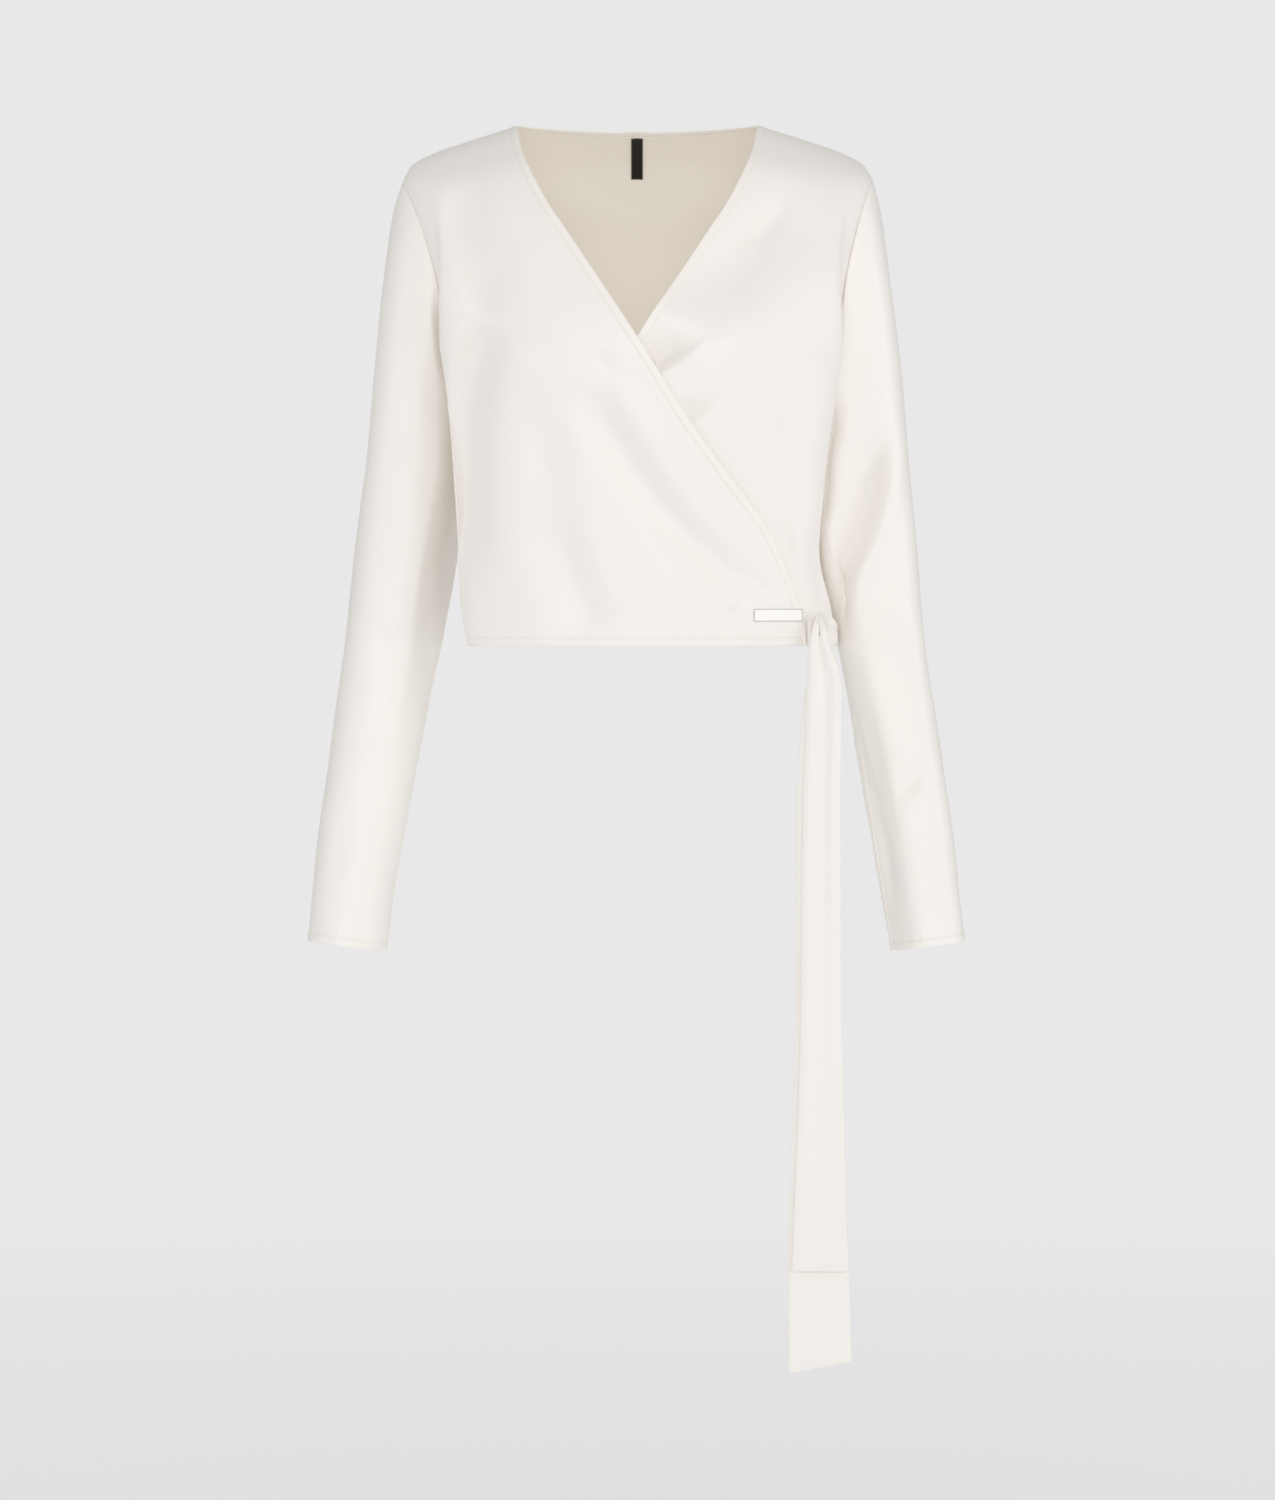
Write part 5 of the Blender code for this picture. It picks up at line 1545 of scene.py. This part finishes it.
def woven(name):
    """The material of a label: its ground, a border line (on the white label partly painted
    shadow round its edge) and the ribs of its weft.
    """
    ground, border, margin = LABELS[name]
    colours = bpy.context.scene.wrap_top_colours

    def build(shader):
        cut = shader.node("ShaderNodeUVMap", {"uv_map": "cut"})
        split = shader.node("ShaderNodeSeparateXYZ", None, {0: cut})
        along = Value(shader, split.socket.node.outputs[1])
        from_long = (0.5 - (split - 0.5).math("ABSOLUTE")) / margin[0]
        from_short = (0.5 - (along - 0.5).math("ABSOLUTE")) / margin[1]
        inside = from_long.math("MINIMUM", from_short)
        near = (1.0 - inside).math("MAXIMUM", 0.0).math("MINIMUM", 1.0)
        ribs = (split * LABEL_RIBS).math("SINE") * 0.5 + 0.5
        colour = shader.mix_colours(near ** BORDER_SOFT, colour4(getattr(colours, ground)),
                                    colour4(getattr(colours, border)))
        finished(shader, {"Base Color": colour, **LABEL_FINISH,
                          "Normal": shader.bump(ribs, LABEL_RIB_HEIGHT)})
    return material(name, build)


# --- operators ---


class WRAPTOP_OT_labels(bpy.types.Operator):
    """Weaves the two blank labels"""
    bl_idname = "wrap_top.labels"
    bl_label = "Labels"

    def execute(self, context):
        sizes = context.scene.wrap_top_sizes
        finish_piece(hem_label(sizes), "label_white", "label_hem")
        finish_piece(neck_label(sizes), "label_black", "label_neck")
        return {"FINISHED"}


class WRAPTOP_OT_edges(bpy.types.Operator):
    """Folds and topstitches the bias edges of both fronts and the back neck"""
    bl_idname = "wrap_top.edges"
    bl_label = "Bias Edges"

    def execute(self, context):
        sizes = context.scene.wrap_top_sizes
        bands = {
            "edge_over": edge_band(-1, front_relief, 1.0, sizes),
            "edge_under": edge_band(1, under_relief, HIDDEN_REACH, sizes),
            "edge_neck": neck_band(sizes),
        }
        for node, band in bands.items():
            finish_piece(band_piece(node + "_bias", band, sizes), "satin", node)
            stitches(node + "_stitches", band_paths(band, sizes), sizes)
        return {"FINISHED"}


class WRAPTOP_OT_back(bpy.types.Operator):
    """Cuts the back and stitches its hem"""
    bl_idname = "wrap_top.back"
    bl_label = "Back"

    def execute(self, context):
        sizes = context.scene.wrap_top_sizes
        back, hem = back_panel(sizes)
        finish_piece(back, "satin", "back")
        stitches("back_hem_stitches", hem, sizes)
        return {"FINISHED"}


class WRAPTOP_OT_fronts(bpy.types.Operator):
    """Cuts the two wrapped fronts and stitches their hems"""
    bl_idname = "wrap_top.fronts"
    bl_label = "Fronts"

    def execute(self, context):
        sizes = context.scene.wrap_top_sizes
        over, hem = front_panel("front_over_panel", -1, front_relief, 1.0, sizes)
        finish_piece(over, "satin", "front_over")
        stitches("front_over_hem_stitches", hem, sizes)
        under, hem = front_panel("front_under_panel", 1, under_relief, HIDDEN_REACH, sizes)
        finish_piece(under, "satin", "front_under")
        stitches("front_under_hem_stitches", hem, sizes)
        return {"FINISHED"}


class WRAPTOP_OT_sleeves(bpy.types.Operator):
    """Sets in the two sleeves and stitches their cuffs"""
    bl_idname = "wrap_top.sleeves"
    bl_label = "Sleeves"

    def execute(self, context):
        sizes = context.scene.wrap_top_sizes
        for side, node in ((-1, "sleeve_right"), (1, "sleeve_left")):
            sleeve, cuff = sleeve_panel(node + "_panel", side, sizes)
            finish_piece(sleeve, "satin", node)
            stitches(node + "_stitches", cuff, sizes)
        return {"FINISHED"}


class WRAPTOP_OT_ties(bpy.types.Operator):
    """Knots the two ties and hangs their ends"""
    bl_idname = "wrap_top.ties"
    bl_label = "Ties and Knot"

    def execute(self, context):
        sizes = context.scene.wrap_top_sizes
        corner = body(edge_across(-1, np.array(0.0), 0.0), np.array(0.0))
        shift, place = np.array(TIE_OVER.start), np.array((*corner[:2], 0.0))
        over = TIE_OVER._replace(start=tuple(place + shift))
        finish_piece(strap("tie_over_strap", over, sizes), "satin", "tie_over")
        finish_piece(strap("tie_side_strap", TIE_SIDE, sizes), "satin", "tie_side")
        finish_piece(knot("knot_folds"), "satin", "knot")
        front = tail("tail_front_tie", TAIL_FRONT, 0.0, FRONT_PLEATS, sizes)
        rear = tail("tail_rear_tie", TAIL_REAR, TAIL_END_SLANT, REAR_PLEATS, sizes)
        finish_piece(front, "satin", "tail_front")
        finish_piece(rear, "satin", "tail_rear")
        return {"FINISHED"}


class WRAPTOP_OT_stage(bpy.types.Operator):
    """Sets up the floor, the soft light, the backdrop and the camera"""
    bl_idname = "wrap_top.stage"
    bl_label = "Stage"

    def execute(self, context):
        stage = context.scene.wrap_top_stage
        add_floor(stage)
        for box in SOFT_BOXES:
            add_soft_box(box, stage)
        light_world(context.scene, stage)
        context.scene.view_settings.view_transform = "Standard"
        add_camera(context.scene, stage)
        return {"FINISHED"}


def add_floor(stage):
    """A plain round floor that is mostly the backdrop's own colour."""
    floor = made_by(bpy.ops.mesh.primitive_circle_add, vertices=96, radius=FLOOR_RADIUS,
                    fill_type="NGON", location=(0, 0, stage.floor_height))
    floor.name = "floor"

    def build(shader):
        place = shader.node("ShaderNodeTexCoord", output=3)
        distance = shader.node("ShaderNodeVectorMath", {"operation": "LENGTH"}, {0: place}, 1)
        near = (1.0 - distance / (FLOOR_RADIUS * FLOOR_NEAR)).math("MAXIMUM", 0.0) * FLOOR_SHARE
        flat = shader.node("ShaderNodeEmission", None,
                           {"Color": colour4(stage.backdrop), "Strength": 1.0})
        lit = shader.node("ShaderNodeBsdfDiffuse", None, {"Color": colour4(FLOOR_COLOUR)})
        mixed = shader.node("ShaderNodeMixShader", None, {0: near, 1: flat, 2: lit})
        shader.node("ShaderNodeOutputMaterial", None, {"Surface": mixed})
    floor.data.materials.append(material("floor", build))


def add_soft_box(box, stage):
    """A broad soft light aimed at the top."""
    sideways, ahead, down = (aim - place for aim, place in zip(LIGHT_AIM, box.place))
    level = math.hypot(sideways, ahead)
    turn = (math.pi / 2 + math.atan2(down, level), 0, -math.atan2(sideways, ahead))
    light = made_by(bpy.ops.object.light_add, type="AREA", location=box.place, rotation=turn)
    light.name = box.name
    light.data.shape = "RECTANGLE"
    light.data.size, light.data.size_y = box.width, box.height
    light.data.energy = stage.key_power * box.share
    light.data.color = LIGHT_COLOUR


def light_world(scene, stage):
    """Even light from all round; the camera sees the plain backdrop instead."""
    world = scene.world or bpy.data.worlds.new("world")
    scene.world = world
    shader = Shader(world)
    seen = shader.node("ShaderNodeLightPath")
    fill = shader.node("ShaderNodeBackground", None,
                       {"Color": colour4(FILL_COLOUR), "Strength": stage.fill_strength})
    plain = shader.node("ShaderNodeBackground", None,
                        {"Color": colour4(stage.backdrop), "Strength": 1.0})
    mixed = shader.node("ShaderNodeMixShader", None, {0: seen, 1: fill, 2: plain})
    shader.node("ShaderNodeOutputWorld", None, {"Surface": mixed})


def add_camera(scene, stage):
    """The camera straight in front, at the height of the ties."""
    camera = made_by(bpy.ops.object.camera_add, rotation=(math.pi / 2, 0, 0),
                     location=(CAMERA_X, -stage.distance, CAMERA_HEIGHT))
    camera.data.lens = stage.lens
    camera.data.sensor_width = SENSOR_WIDTH
    camera.data.sensor_fit = "AUTO"
    scene.camera = camera


OPERATORS = (
    WRAPTOP_OT_labels, WRAPTOP_OT_edges, WRAPTOP_OT_back, WRAPTOP_OT_fronts,
    WRAPTOP_OT_sleeves, WRAPTOP_OT_ties, WRAPTOP_OT_stage,
)
GROUPS = {
    "wrap_top_sizes": WrapTopSizes,
    "wrap_top_colours": WrapTopColours,
    "wrap_top_stage": WrapTopStage,
}


class WRAPTOP_PT_panel(bpy.types.Panel):
    """Lists the steps of making the top"""
    bl_label = "Wrap Top"
    bl_idname = "WRAPTOP_PT_panel"
    bl_space_type = "VIEW_3D"
    bl_region_type = "UI"
    bl_category = "Wrap Top"

    def draw(self, context):
        for group, kind in GROUPS.items():
            column = self.layout.column(align=True)
            for name in kind.__annotations__:
                column.prop(getattr(context.scene, group), name)
        for operator in OPERATORS:
            self.layout.operator(operator.bl_idname)


def register():
    for kind in (*GROUPS.values(), *OPERATORS, WRAPTOP_PT_panel):
        bpy.utils.register_class(kind)
    for name, kind in GROUPS.items():
        setattr(bpy.types.Scene, name, PointerProperty(type=kind))


def unregister():
    for name in GROUPS:
        delattr(bpy.types.Scene, name)
    for kind in (WRAPTOP_PT_panel, *reversed(OPERATORS), *GROUPS.values()):
        bpy.utils.unregister_class(kind)


def main():
    register()
    bpy.ops.wrap_top.labels()
    bpy.ops.wrap_top.edges()
    bpy.ops.wrap_top.back()
    bpy.ops.wrap_top.fronts()
    bpy.ops.wrap_top.sleeves()
    bpy.ops.wrap_top.ties()
    bpy.ops.wrap_top.stage()


if __name__ == "__main__":
    main()
